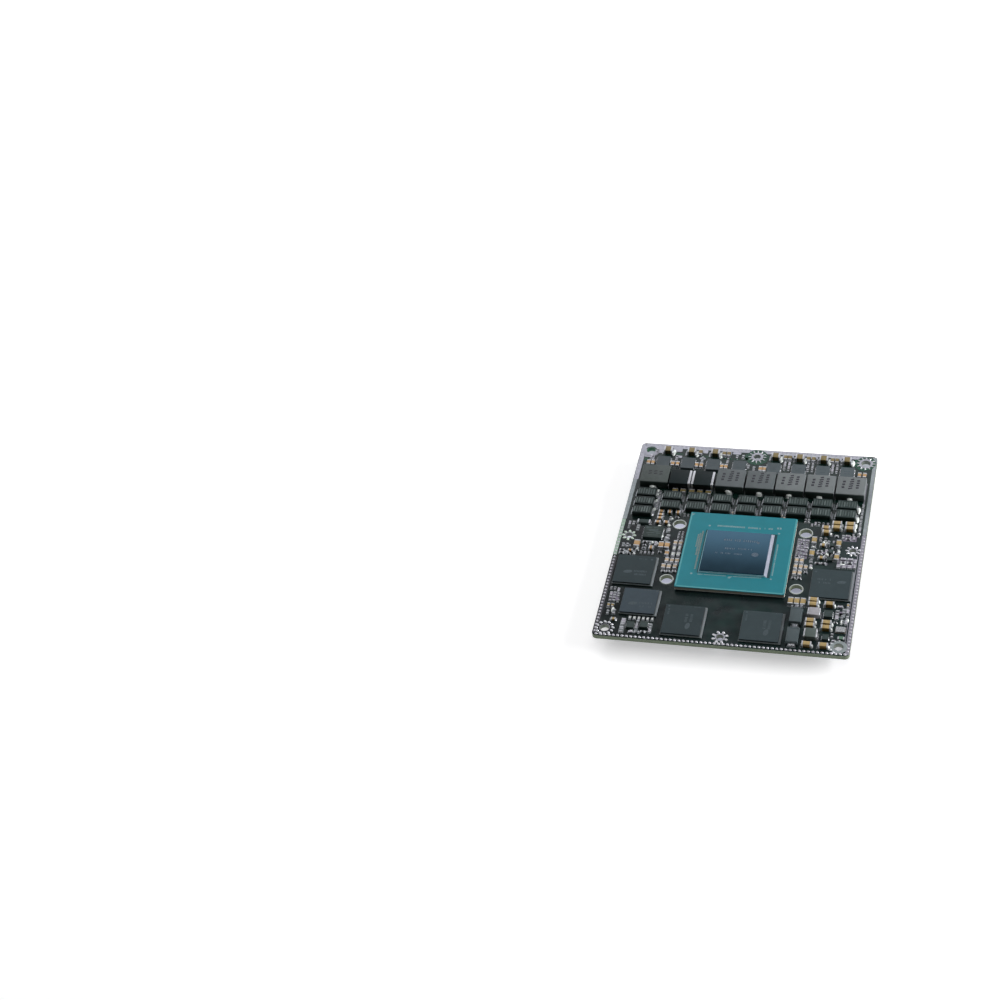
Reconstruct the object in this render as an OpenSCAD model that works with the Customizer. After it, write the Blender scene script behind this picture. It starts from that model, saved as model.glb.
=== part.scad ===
// System on module: one square-cornered circuit board that carries a processor,
// its memory, its power supply and, underneath, one board-to-board connector.
// The frame stands on the connector's mating face: z = 0 there, +Z up,
// x = y = 0 at the middle of the board, +Y towards the power supply row.

/* [Circuit board] */
// Width of the board, left to right
board_w = 87; // [86.6:0.1:88]
// Depth of the board, front to back
board_d = 100; // [99.6:0.1:101]
// Thickness of the board
board_t = 1.6; // [1.2:0.1:2.4]
// Radius of the board's corners
board_corner_r = 1.6; // [0.6:0.2:2.4]

/* [Holes] */
// Distance between the fixing holes, left to right
fixing_span_x = 79.2; // [78.8:0.1:79.6]
// Distance between the fixing holes, front to back
fixing_span_y = 92.2; // [91.8:0.1:92.6]
// Diameter of the four corner fixing holes
corner_hole_d = 3.2; // [2.6:0.1:3.4]
// Diameter of the four fixing holes halfway along the edges
edge_hole_d = 2.4; // [2:0.1:2.8]
// Distance between the cooler holes, left to right
cooler_span_x = 45; // [44.8:0.1:45.2]
// Distance between the cooler holes, front to back
cooler_span_y = 28; // [27.6:0.1:28.4]
// Diameter of the four cooler holes
cooler_hole_d = 4.2; // [3:0.1:4.4]
// Position of the cooler pattern's middle, front to back
cooler_y = -6.7; // [-6.9:0.1:-6.5]

/* [Processor] */
// Side of the square processor carrier
carrier_side = 38; // [37:0.2:38.4]
// Thickness of the processor carrier
carrier_t = 1.5; // [1:0.1:1.8]
// Height of the solder balls under the carrier
carrier_ball_h = 0.5; // [0.3:0.05:0.6]
// Width of the silicon die
die_w = 22.5; // [20:0.5:24]
// Depth of the silicon die
die_d = 20.5; // [19:0.5:23]
// Thickness of the silicon die
die_t = 0.8; // [0.6:0.05:1]

/* [Memory and storage] */
// Width of one memory package
memory_w = 14.2; // [13.6:0.1:14.4]
// Depth of one memory package
memory_d = 14.2; // [13.6:0.1:14.4]
// Width of the storage package
storage_w = 13; // [12.4:0.1:13.2]
// Depth of the storage package
storage_d = 12.2; // [11.5:0.1:12.4]
// Height of the memory and storage packages above the board
memory_h = 1.05; // [0.8:0.05:1.3]

/* [Power supply] */
// Width of one large power inductor
inductor_w = 10.3; // [9.8:0.1:10.5]
// Depth of one large power inductor
inductor_d = 9.5; // [9:0.1:9.8]
// Height of the power inductors
inductor_h = 3.2; // [2.8:0.1:4]
// Length of one polymer capacitor over its terminals
polymer_l = 7.3; // [7:0.1:7.4]
// Width of one polymer capacitor
polymer_w = 4.3; // [4:0.1:4.4]
// Height of one polymer capacitor
polymer_h = 1.9; // [1.5:0.1:2.8]

/* [Underside connector] */
// Height of the connector below the board
connector_h = 4; // [3:0.2:6]
// Width of the connector housing, left to right
connector_w = 37; // [36:0.5:38]
// Depth of the connector housing, front to back
connector_d = 21; // [20.4:0.2:22]
// Position of the connector's middle, front to back
connector_y = 8; // [7:0.5:10]

/* [Hidden] */
$fn = 48;
eps = 0.01;

board_bottom = connector_h;
board_top = board_bottom + board_t;
carrier_x = 0.1;
carrier_y = -6.8;
carrier_bottom = board_top + carrier_ball_h;
carrier_top = carrier_bottom + carrier_t;
die_x = -0.2;
die_y = -7.45;
package_gap = 0.25;
substrate_t = 0.3;
// How far the mould stands back from the edge of its substrate: left and back, right, front
mould_inset = 0.12;
mould_right_step = 0.75;
mould_front_step = 0.4;

// Middles of the memory packages: left, front left, front right, right
memory_at = [[-34, -18], [-13.2, -40.5], [13.4, -40.5], [34.2, -17.9]];
storage_at = [-29.5, -33.2];

// Middles of the large inductors along the power row
inductor_x = [-35.1, -7.4, 3.5, 14.3, 25.1, 35.9];
inductor_y = 30.3;
// Small black inductors: [left face, right face, thickness and height of the left end]
small_inductors = [[-29.8, -21.75, 0.35, 1.6], [-21.35, -13.3, 0.8, 3.2]];
small_inductor_y = 29.3;
small_inductor_d = 7.6;
small_inductor_h = 3.2;
small_inductor_end = 0.85;

// Polymer capacitors, shared by both rows: [middle, step forward out of the row]
polymer_places = [[-36.9, 0], [-27.3, 1.05], [-18.1, 0.9], [-9.1, 1], [0, 0.8], [9.1, 0.35], [17.9, 0.1], [26.6, 0], [35.4, 0]];
polymer_back_y = 21.8;
polymer_front_y = 16.9;
// Polymer capacitors that stand apart: [x, y, quarter turns]
polymer_left_extra = [-36.9, 12.1, 0];
polymer_side = [[24.1, -34.4, 1], [24.1, -43.7, 1]];

// Power stages behind the inductors
stage_x = [-33.9, -24.7, -15.4, -5.7, 6.8, 15.9, 24.6, 33.5];
stage_y = 39.6;
stage_size = [4.9, 5.8, 0.9];

// Chip components: [x, y, length, width, height, quarter turns].
// The length runs left to right, or front to back after one quarter turn.
bulk_capacitors = [for (x = [-33, -24.2, -15.4, 6.9, 15.7, 24.4, 32.9]) [x, 45.8, 3, 2.6, 1.9, 0]];

input_capacitors = [
    for (x = [10.5, 12.1, 18.8, 20.7, 27.5, 29.2, -21, -12.2, -10.5]) [x, 46.2, 2.6, 1.4, 0.9, 1],
    for (x = [-39.3, -37.7, -30.3, -28.5, -21.4, -19.7, -12.1, -10.6, 2.1, 3.5, 38, 39.8]) [x, 38.95, 2.4, 1.3, 0.9, 1],
    for (x = [-26.9, -24, -20.8, -17.9, -14.8]) [x, 24.15, 2.1, 2, 1.2, 1]
];

gate_resistors = [
    for (x = [-29.4, -19.8, -10.4, 10.6, 12.2, 19.1, 20.7, 28, 29.6], y = [41, 43.1]) [x, y, 1.6, 0.8, 0.45, 1],
    [-7.3, 45.2, 1.6, 0.8, 0.45, 1], [-5.1, 45.4, 1.6, 0.8, 0.45, 1],
    [-2.5, 40.2, 1.6, 0.8, 0.45, 1], [-0.4, 39.4, 1.6, 0.8, 0.45, 1],
    [-38.9, 42.6, 1.6, 0.8, 0.45, 1], [-37.2, 46.2, 1.6, 0.8, 0.45, 1]
];

left_capacitors = [
    // chain of four beside the controller
    for (y = [12.95, 11.2, 9.45]) [-30, y, 2, 1.25, 0.9, 0],
    [-30.4, 7.3, 2, 1.25, 0.9, 0], [-27.3, 7.4, 2, 1.25, 0.9, 0],
    [-26.9, 12.75, 1.6, 1.6, 1.1, 0], [-23.9, 12.75, 1.6, 1.6, 1.1, 0],
    // larger ones in front of the controller
    [-35.8, -4.7, 3.1, 2.1, 1.2, 1], [-27.1, -4.7, 3, 1.8, 1.2, 1], [-25, -4.7, 3, 1.8, 1.2, 1],
    [-30.5, -6.1, 1.6, 1.6, 0.9, 0], [-37.7, -7.9, 1.6, 0.8, 0.7, 0],
    // two columns beside the processor
    [-22.3, -2.7, 2.1, 1.4, 0.7, 1], [-20.5, -2.6, 2.1, 1.3, 0.7, 1], [-22.3, -5.4, 1.8, 1.1, 0.6, 1], [-20.45, -5.2, 1.8, 1, 0.6, 1],
    [-22.2, -8.5, 1.9, 1.3, 0.7, 1], [-20.4, -8.3, 1.9, 1.2, 0.7, 1], [-24.5, -8.2, 2.3, 1.5, 0.8, 1],
    [-23.9, -11.5, 2.1, 1.4, 0.7, 1], [-22.1, -11.7, 2.1, 1.3, 0.7, 1], [-20.3, -11.6, 2.1, 1.4, 0.7, 1],
    [-24.6, -14.7, 2.1, 1.4, 0.7, 1], [-22.7, -14.8, 2.1, 1.4, 0.7, 1], [-20.6, -14.5, 2.1, 1.4, 0.7, 1],
    // small ones in the gaps between the polymer capacitors
    [-4.6, 15, 1, 0.6, 0.5, 1], [13.1, 15, 1, 0.6, 0.5, 1], [14, 14.1, 1, 0.6, 0.5, 1]
];

left_resistors = [
    // column between the first polymer capacitors
    for (y = [23.6, 21.9, 20.2, 18.5, 16.8, 15.1]) [-32.2, y, 1, 0.7, 0.4, 1],
    [-26.2, 9.9, 1.6, 0.8, 0.45, 1], [-24, 10.8, 1, 0.6, 0.4, 0],
    [-21.4, 12.2, 1, 0.6, 0.4, 1], [-20.2, 12.2, 1, 0.6, 0.4, 1], [-22.5, 14, 1, 0.6, 0.4, 1],
    [-40.4, 6.2, 1.6, 0.8, 0.45, 1], [-39, 6.2, 1.6, 0.8, 0.45, 1], [-40.4, 4, 1, 0.6, 0.4, 1],
    [-37, 4.4, 1.6, 0.8, 0.45, 1], [-25.8, 3.9, 1.6, 0.8, 0.45, 1], [-25.5, 0.2, 2, 1.2, 0.5, 1],
    for (x = [-21.8, -20.5], y = [2.9, 1.3, -0.3]) [x, y, 1, 0.6, 0.4, 1],
    [-29.2, -3.7, 2, 0.9, 0.5, 1], [-33.2, -3.1, 1.6, 0.8, 0.45, 0], [-31.2, -3.5, 1.6, 0.8, 0.45, 1],
    [-33.2, -4.7, 1, 0.6, 0.4, 0], [-33.2, -6.1, 1, 0.6, 0.4, 0],
    for (x = [-33.7, -32.3, -30.9, -29.5]) [x, -8.4, 1, 0.6, 0.4, 1],
    [-40.7, -5.3, 1.6, 0.8, 0.45, 1], [-39.2, -5.3, 1.6, 0.8, 0.45, 1],
    [-40.6, -7.9, 1.6, 0.8, 0.45, 0], [-40.6, -9.4, 1.6, 0.8, 0.45, 0], [-37.9, -9.5, 1, 0.6, 0.4, 0],
    [-36.1, -9.1, 1.6, 0.8, 0.45, 1], [-35.3, -7.4, 1, 0.6, 0.4, 0], [-27.1, -7.6, 1, 0.9, 0.45, 0],
    [-24.3, -17, 1.3, 0.9, 0.45, 0], [-22.6, -17, 1.3, 0.9, 0.45, 0], [-20.5, -16.8, 1.3, 0.9, 0.45, 0]
];

right_capacitors = [
    // four large ones under the polymer rows, in two stacks
    for (x = [32.9, 37.5], y = [10.2, 12.35]) [x, y, 3.3, 1.7, 1.6, 0],
    [29.6, 7.6, 2.8, 1.6, 1.6, 0], [29.3, 9.7, 2.8, 1.6, 1.6, 0],
    [25.9, 3.4, 3.1, 1.7, 1.1, 1], [25.8, -3.2, 3.1, 1.7, 1.1, 1],
    [34.5, 2.6, 3.1, 1.7, 1.1, 1], [34.5, -4.4, 2.8, 1.7, 1.1, 1],
    [29.2, 1.4, 2, 1.25, 0.9, 0], [29.2, -4.9, 2, 1.25, 0.9, 0],
    // columns beside the processor
    for (x = [20.95, 22.75], y = [-6.9, -10, -13.1]) [x, y, 2.2, 1.35, 0.7, 1],
    [24.45, -10.1, 2, 1.2, 0.7, 1]
];

right_resistors = [
    // column along the right edge
    for (y = [23.4, 21.6, 19.8, 18, 16.2, 14.4, 12.6, 10.8]) [40.9, y, 1.2, 0.7, 0.4, 1],
    // row in front of the polymer capacitors
    [21.6, 13.5, 1.6, 0.7, 0.45, 1], [22.8, 13.5, 1.6, 0.7, 0.45, 1], [24.1, 11.6, 1, 0.6, 0.4, 1],
    for (x = [25.3, 26.5]) [x, 12.3, 1.6, 0.7, 0.45, 1],
    [28, 12.6, 1, 0.6, 0.4, 1], [29.6, 12.6, 1, 0.6, 0.4, 1], [31.5, 7.4, 1, 0.6, 0.4, 1],
    [33.3, 6.8, 1, 1, 0.45, 0],
    [35.6, 6.6, 1.6, 0.8, 0.45, 1], [37.2, 7.2, 1.6, 0.8, 0.45, 0], [37.4, 5.6, 1.6, 0.8, 0.45, 0],
    [39.4, 6.2, 1.6, 0.8, 0.45, 1], [40.8, 7.9, 1.6, 0.8, 0.45, 1], [39, 8, 1, 0.6, 0.4, 1],
    [26, 0.6, 1.2, 1, 0.45, 0], [28, 4.6, 1.6, 0.8, 0.45, 1], [29.7, 4.6, 1.6, 0.8, 0.45, 1],
    [30.9, 3.2, 1.6, 0.8, 0.45, 1], [32.6, 3.6, 1, 0.6, 0.4, 1], [28.4, -1.4, 1.6, 0.8, 0.45, 0],
    [30.6, -1.2, 1.6, 0.8, 0.45, 1], [30.7, -3.7, 1.6, 0.8, 0.45, 1], [32.5, 0.4, 1, 0.6, 0.4, 1],
    [34.7, -0.9, 1.6, 0.9, 0.45, 1], [28.4, -2.8, 1.6, 0.8, 0.45, 0], [32.6, -3, 1, 0.6, 0.4, 1],
    [28.2, -7.4, 1.6, 0.8, 0.45, 0], [30.2, -7.4, 1.6, 0.8, 0.45, 0], [26, -6.4, 1.6, 0.8, 0.45, 1],
    [26.1, -9.3, 1.6, 0.8, 0.45, 1], [24.7, -12.4, 1, 0.8, 0.45, 0],
    // bright field between the cooler hole and the small capacitors
    [20.8, 3.7, 1, 0.6, 0.4, 0], [22.3, 3.5, 1.2, 0.7, 0.4, 1], [23.6, 3.3, 1, 0.6, 0.4, 0],
    [20.6, 2.2, 1.2, 0.7, 0.4, 1], [21.9, 1.8, 1, 0.7, 0.4, 0], [23.5, 1.7, 1.2, 0.8, 0.4, 1],
    [20.7, 0.3, 1.2, 0.8, 0.4, 1], [22, 0.2, 1, 0.7, 0.4, 1], [23.5, -0.1, 1.2, 0.7, 0.4, 0],
    [20.9, -1.3, 1.2, 0.6, 0.4, 0], [22.4, -1.5, 1, 0.8, 0.4, 0], [23.7, -1.7, 1.2, 0.7, 0.4, 1],
    [20.6, -2.8, 1.2, 0.8, 0.4, 1], [22, -3.1, 1, 0.8, 0.4, 1], [23.5, -3.6, 1.2, 0.8, 0.4, 0],
    [20.9, -4.6, 1.2, 0.7, 0.4, 0], [22.8, -4.9, 1, 0.6, 0.4, 0],
    // resistor arrays behind the right memory package
    for (x = [36.9, 39.2], y = [-4.5, -6.2]) [x, y, 1.8, 1, 0.45, 0],
    for (x = [35.5, 37.4, 39.3], y = [-8.2]) [x, y, 1.4, 1.3, 0.45, 1],
    [41.1, -5.4, 1.6, 0.8, 0.45, 1], [41.1, -7.9, 1.6, 0.8, 0.45, 1],
    [20.9, -15.5, 1.2, 0.9, 0.45, 0], [22.9, -15.5, 1.2, 0.9, 0.45, 0]
];

corner_capacitors = [
    // three side by side behind the side polymer capacitors
    for (x = [21.4, 23.5, 25.6]) [x, -27.2, 3.1, 1.8, 1.2, 1],
    // stacks of large ones
    for (y = [-26.1, -28.2, -35.9, -38, -46.8]) [29.1, y, 3.3, 1.7, 1.6, 0],
    for (y = [-27.5, -36.3, -38.6, -46.8]) [34.6, y, 3.3, 1.7, 1.6, 0],
    [40.8, -27, 1.6, 0.8, 0.7, 1],
    // lower left edge
    [-40.2, -35.6, 1.6, 0.9, 0.7, 1], [-38.8, -35.6, 1.6, 0.9, 0.7, 1], [-37.3, -42, 1.6, 1.2, 0.7, 0]
];

corner_resistors = [
    // lower right edge
    [38.2, -27.6, 1.6, 0.8, 0.45, 0], [39.6, -29.6, 1.6, 0.8, 0.45, 1], [40.9, -29.6, 1.6, 0.8, 0.45, 1],
    [37.6, -30.4, 1.6, 1.2, 0.45, 1], [37.6, -32.8, 1.6, 1.2, 0.45, 1], [39.3, -32.2, 1, 0.7, 0.4, 1],
    [41.1, -32.6, 1.6, 0.8, 0.45, 1], [39.5, -34.6, 1.6, 0.8, 0.45, 1], [40.9, -34.9, 1.6, 0.8, 0.45, 1],
    [37.4, -35.2, 1, 0.6, 0.4, 0], [36.9, -41.3, 1.6, 0.8, 0.45, 1], [37.7, -43.6, 1, 0.6, 0.4, 0],
    // lower left edge
    [-40.8, -27.1, 1, 0.7, 0.4, 1], [-39.5, -27.1, 1, 0.7, 0.4, 1], [-38.1, -27.8, 1.6, 0.8, 0.45, 1],
    [-40.3, -29.9, 1.6, 0.9, 0.45, 1], [-39, -29.9, 1.6, 0.9, 0.45, 1], [-37.7, -30.2, 1.6, 0.8, 0.45, 1],
    [-40.2, -32.4, 1.6, 0.9, 0.45, 1], [-38.9, -32.4, 1.6, 0.9, 0.45, 1], [-37.4, -33.1, 1, 0.8, 0.4, 1],
    [-37.8, -38.4, 2, 1.1, 0.5, 1], [-39.9, -38.8, 1.6, 0.8, 0.45, 1],
    // row of six in front of the storage package
    for (i = [0 : 5]) [-31.8 + 1.55 * i, -40.6, 1.3, 0.8, 0.4, 1],
    // around the two small chips in the lower left
    [-33.7, -42.4, 2, 1.3, 0.5, 1], [-33.7, -44.7, 2, 1.3, 0.5, 1], [-33.7, -46.9, 1.6, 1.3, 0.5, 1],
    [-30.3, -47.2, 1.6, 0.8, 0.45, 0], [-28.3, -47.2, 1.6, 0.8, 0.45, 0], [-28.8, -44.6, 1.6, 0.8, 0.45, 1],
    [-28.8, -42.6, 1.6, 0.8, 0.45, 1], [-26.3, -46.8, 1.6, 0.8, 0.45, 0], [-24.1, -43.7, 1.6, 0.8, 0.45, 1],
    [-24.1, -46, 1.6, 0.8, 0.45, 1]
];

// Filter inductors: [x, y, width, depth, height]
filter_inductors = [[29.9, -32.1, 4.3, 3.6, 1.9], [29.9, -42.1, 4.5, 4.2, 1.9]];
sense_resistor = [-35.4, 7.1, 4.6, 1.9, 0.8, 0];
controller_at = [-31.1, 1.7];
controller_size = [6.8, 6, 1];
// Small chips: [x, y, width, depth, height]
regulators = [[34.7, -31.9, 2.9, 3.1, 1], [-31, -44.3, 2.6, 2.8, 0.8], [-26.4, -43.7, 2.8, 2.8, 0.8], [34.9, -42.6, 2.2, 2.4, 0.8],
              [32.2, -1.35, 1.6, 1.8, 0.7], [32.2, -5.2, 1.7, 1.6, 0.7], [32.3, 1.95, 1.5, 1.5, 0.7]];
crystal_at = [39.5, -38.6];
crystal_size = [3.5, 2.7, 0.8];
lamp_at = [40, -42.2];

// Rows of contacts and how many stand in each
contact_rows = 7;
contacts_per_row = 23;
contact_row_pitch = 2.6;
contact_pitch = 1.5;
groove_w = 1.5;
groove_depth = 2.4;

underside_capacitors = [
    for (i = [-5 : 5], j = [0 : 4]) [carrier_x + i * 2.6, -22.5 + j * 3.6, 1.6, 0.8, 0.7, (i + j + 10) % 2],
    for (i = [-8 : 8], j = [0 : 1]) [i * 4.6, 26 + j * 8, 2, 1.25, 0.9, 0]
];

// ---------- shapes shared by several parts ----------

// Flat outline with round corners
module round_outline(w, d, r) {
    square([w - 2 * r, d], center = true);
    square([w, d - 2 * r], center = true);
    for (sx = [-1, 1], sy = [-1, 1])
        translate([sx * (w / 2 - r), sy * (d / 2 - r)]) circle(r = r);
}

// Block with cut corners, whose top edges are chamfered
module chamfered_block(w, d, h, c) {
    intersection() {
        linear_extrude(h)
            polygon([[-w/2 + c, -d/2], [w/2 - c, -d/2], [w/2, -d/2 + c], [w/2, d/2 - c],
                     [w/2 - c, d/2], [-w/2 + c, d/2], [-w/2, d/2 - c], [-w/2, -d/2 + c]]);
        translate([0, d / 2 + eps, 0]) rotate([90, 0, 0]) linear_extrude(d + 2 * eps)
            polygon([[-w/2, 0], [w/2, 0], [w/2, h - c], [w/2 - c, h], [-w/2 + c, h], [-w/2, h - c]]);
        translate([-w / 2 - eps, 0, 0]) rotate([90, 0, 90]) linear_extrude(w + 2 * eps)
            polygon([[-d/2, 0], [d/2, 0], [d/2, h - c], [d/2 - c, h], [-d/2 + c, h], [-d/2, h - c]]);
    }
}

// Moulded block whose four sides lean in above and below a parting line
module moulded_block(w, d, h, draft) {
    mid = h * 0.5;
    intersection() {
        translate([0, d / 2 + eps, 0]) rotate([90, 0, 0]) linear_extrude(d + 2 * eps)
            polygon([[-w/2 + draft, 0], [w/2 - draft, 0], [w/2, mid], [w/2 - draft, h], [-w/2 + draft, h], [-w/2, mid]]);
        translate([-w / 2 - eps, 0, 0]) rotate([90, 0, 90]) linear_extrude(w + 2 * eps)
            polygon([[-d/2 + draft, 0], [d/2 - draft, 0], [d/2, mid], [d/2 - draft, h], [-d/2 + draft, h], [-d/2, mid]]);
    }
}

// Length of one metal end of a chip component
function end_length(c) = min(0.5, 0.24 * c[2]);

// Ceramic bodies of a list of chip components, on a face at height z
module chip_bodies(list, z, side = 1) {
    for (c = list)
        translate([c[0], c[1], z]) rotate([side > 0 ? 0 : 180, 0, 90 * c[5]])
            translate([-c[2] / 2 + end_length(c), -c[3] / 2 + 0.03, 0.03])
                cube([c[2] - 2 * end_length(c), c[3] - 0.06, c[4] - 0.06]);
}

// Metal ends of a list of chip components
module chip_ends(list, z, side = 1) {
    for (c = list)
        translate([c[0], c[1], z]) rotate([side > 0 ? 0 : 180, 0, 90 * c[5]])
            for (s = [-1, 1])
                translate([s * (c[2] - end_length(c)) / 2, 0, c[4] / 2])
                    cube([end_length(c), c[3], c[4]], center = true);
}

// One row of solder balls round the rim of a package
module ball_ring(at, w, d, pitch, ball_d, z, h) {
    nx = floor((w - 1.6) / pitch);
    ny = floor((d - 1.6) / pitch);
    px = (w - 1.6) / nx;
    py = (d - 1.6) / ny;
    for (i = [0 : nx], s = [-1, 1])
        translate([at[0] - (w - 1.6) / 2 + i * px, at[1] + s * (d - 1.6) / 2, z]) cylinder(d = ball_d, h = h, $fn = 24);
    for (j = [1 : ny - 1], s = [-1, 1])
        translate([at[0] + s * (w - 1.6) / 2, at[1] - (d - 1.6) / 2 + j * py, z]) cylinder(d = ball_d, h = h, $fn = 24);
}

// Flat metal lands under two opposite edges of a chip
module edge_lands(at, size, pitch, land, z) {
    n = floor((size[1] - land[1] - 0.3) / pitch);
    for (s = [-1, 1], i = [0 : n])
        translate([at[0] + s * (size[0] / 2 - land[0] / 2 + 0.12), at[1] + (i - n / 2) * pitch, z + 0.025])
            cube([land[0], land[1], 0.05], center = true);
}

// Mould on a package substrate of the given plan, set back further at the right and front
module mould_on(at, w, d) {
    translate([at[0] + (mould_inset - mould_right_step) / 2, at[1] + (mould_front_step - mould_inset) / 2, board_top + package_gap + substrate_t])
        chamfered_block(w - mould_inset - mould_right_step, d - mould_inset - mould_front_step, memory_h - package_gap - substrate_t, 0.08);
}

// ---------- circuit board ----------

module circuit_board() {
    color([0.13, 0.16, 0.17])
    difference() {
        translate([0, 0, board_bottom]) linear_extrude(board_t) round_outline(board_w, board_d, board_corner_r);
        for (sx = [-1, 1], sy = [-1, 1])
            translate([sx * fixing_span_x / 2, sy * fixing_span_y / 2, board_bottom - 1])
                cylinder(d = corner_hole_d, h = board_t + 2);
        for (s = [-1, 1]) {
            translate([s * fixing_span_x / 2, 0, board_bottom - 1]) cylinder(d = edge_hole_d, h = board_t + 2);
            translate([0, s * fixing_span_y / 2, board_bottom - 1]) cylinder(d = edge_hole_d, h = board_t + 2);
        }
        for (sx = [-1, 1], sy = [-1, 1])
            translate([sx * cooler_span_x / 2, cooler_y + sy * cooler_span_y / 2, board_bottom - 1])
                cylinder(d = cooler_hole_d, h = board_t + 2);
    }
}

// ---------- processor ----------

module processor_carrier() {
    color([0.18, 0.49, 0.53])
    translate([carrier_x, carrier_y, carrier_bottom]) linear_extrude(carrier_t)
        round_outline(carrier_side, carrier_side, 0.4);
}

module processor_die() {
    color([0.22, 0.29, 0.36])
    translate([die_x, die_y, carrier_top]) chamfered_block(die_w, die_d, die_t, 0.06);
}

// Sloped bead of glue round the foot of the die, widest where it was poured, on the right
module processor_underfill() {
    r = 0.4;
    wide = 1.05;
    h = 0.45;
    color([0.42, 0.45, 0.47])
    difference() {
        translate([die_x, die_y, carrier_top]) intersection() {
            translate([0, die_d / 2 + r, 0]) rotate([90, 0, 0]) linear_extrude(die_d + 2 * r)
                polygon([[-die_w/2 - r, 0], [die_w/2 + wide, 0], [die_w/2, h], [-die_w/2, h]]);
            translate([-die_w / 2 - r, 0, 0]) rotate([90, 0, 90]) linear_extrude(die_w + r + wide)
                polygon([[-die_d/2 - r, 0], [die_d/2 + r, 0], [die_d/2, h], [-die_d/2, h]]);
        }
        translate([die_x - die_w / 2, die_y - die_d / 2, carrier_top - 1]) cube([die_w, die_d, 3]);
    }
}

module processor_solder_balls() {
    color("silver")
    ball_ring([carrier_x, carrier_y], carrier_side, carrier_side, 1.3, 0.6, board_top, carrier_ball_h);
}

// ---------- memory and storage ----------

// Mould of a memory package
module memory_package(i) {
    color([0.24, 0.26, 0.27])
    mould_on(memory_at[i], memory_w, memory_d);
}
module memory_chip_left() memory_package(0);
module memory_chip_front_left() memory_package(1);
module memory_chip_front_right() memory_package(2);
module memory_chip_right() memory_package(3);

module memory_substrates() {
    color([0.45, 0.47, 0.4])
    for (p = memory_at)
        translate([p[0], p[1], board_top + package_gap + substrate_t / 2]) cube([memory_w, memory_d, substrate_t], center = true);
}

module memory_solder_balls() {
    color("silver")
    for (p = memory_at) ball_ring(p, memory_w, memory_d, 1.4, 0.45, board_top, package_gap);
}

module storage_chip() {
    color([0.22, 0.26, 0.28])
    mould_on(storage_at, storage_w, storage_d);
}

module storage_substrate() {
    color([0.45, 0.47, 0.4])
    translate([storage_at[0], storage_at[1], board_top + package_gap + substrate_t / 2])
        cube([storage_w, storage_d, substrate_t], center = true);
}

module storage_solder_balls() {
    color("silver")
    ball_ring(storage_at, storage_w, storage_d, 1.4, 0.45, board_top, package_gap);
}

// ---------- power supply ----------

module power_inductor_cores() {
    color([0.42, 0.43, 0.44])
    for (x = inductor_x)
        translate([x, inductor_y, board_top + 0.15]) difference() {
            chamfered_block(inductor_w, inductor_d, inductor_h - 0.15, 0.25);
            // shallow seats for the folded terminals, front and back
            for (s = [-1, 1])
                translate([0, s * inductor_d / 2, 0.6]) cube([3, 0.3, 3 * 0.4 + eps], center = true);
        }
}

// Foot under the core and tab folded up its end face
module power_inductor_terminals() {
    color("silver")
    for (x = inductor_x, s = [-1, 1])
        translate([x, inductor_y, board_top]) union() {
            translate([0, s * (inductor_d / 2 - 1.2), 0.075]) cube([3, 2.4, 0.15], center = true);
            translate([0, s * (inductor_d / 2 + 0.025), 0.65]) cube([2, 0.35, 1.3], center = true);
        }
}

module small_inductor_cores() {
    color([0.14, 0.17, 0.18])
    for (p = small_inductors) {
        left = p[0] + p[2];
        right = p[1] - small_inductor_end;
        translate([(left + right) / 2, small_inductor_y, board_top + 0.1])
            chamfered_block(right - left, small_inductor_d, small_inductor_h - 0.15, 0.12);
    }
}

module small_inductor_terminals() {
    color("silver")
    for (p = small_inductors)
        translate([0, small_inductor_y - small_inductor_d / 2 + 0.2, board_top]) {
            translate([p[0], 0, 0]) cube([p[2], small_inductor_d - 0.4, p[3]]);
            translate([p[1] - small_inductor_end, 0, 0]) cube([small_inductor_end, small_inductor_d - 0.4, small_inductor_h]);
        }
}

// Moulded body of a polymer capacitor, raised by its folded feet
module polymer_body(x, y, turn) {
    translate([x, y, board_top + 0.12]) rotate(90 * turn)
        moulded_block(polymer_l - 0.3, polymer_w, polymer_h - 0.12, 0.14);
}

// Foot and upright of both terminals of a polymer capacitor
module polymer_ends(x, y, turn) {
    translate([x, y, board_top]) rotate(90 * turn)
        for (s = [-1, 1]) union() {
            translate([s * (polymer_l / 2 - 0.65), 0, 0.06]) cube([1.3, 2.4, 0.12], center = true);
            translate([s * (polymer_l / 2 - 0.06), 0, 0.55]) cube([0.12, 2.4, 1.1], center = true);
        }
}

module polymer_capacitors_back_row() {
    color([0.25, 0.26, 0.25])
    for (p = polymer_places) polymer_body(p[0], polymer_back_y - p[1], 0);
}

module polymer_capacitors_front_row() {
    color([0.25, 0.26, 0.25]) {
        for (p = polymer_places) polymer_body(p[0], polymer_front_y - p[1], 0);
        polymer_body(polymer_left_extra[0], polymer_left_extra[1], 0);
    }
}

module polymer_capacitors_side() {
    color([0.3, 0.32, 0.33])
    for (p = polymer_side) polymer_body(p[0], p[1], p[2]);
}

module polymer_capacitor_terminals() {
    color("silver") {
        for (p = polymer_places, y = [polymer_back_y, polymer_front_y]) polymer_ends(p[0], y - p[1], 0);
        polymer_ends(polymer_left_extra[0], polymer_left_extra[1], 0);
        for (p = polymer_side) polymer_ends(p[0], p[1], p[2]);
    }
}

module power_stage_chips() {
    color([0.28, 0.3, 0.33])
    for (x = stage_x)
        translate([x, stage_y, board_top + 0.05])
            chamfered_block(stage_size[0], stage_size[1], stage_size[2] - 0.05, 0.06);
}

module power_stage_lands() {
    color("silver")
    for (x = stage_x) edge_lands([x, stage_y], stage_size, 0.8, [0.5, 0.4], board_top);
}

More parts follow.
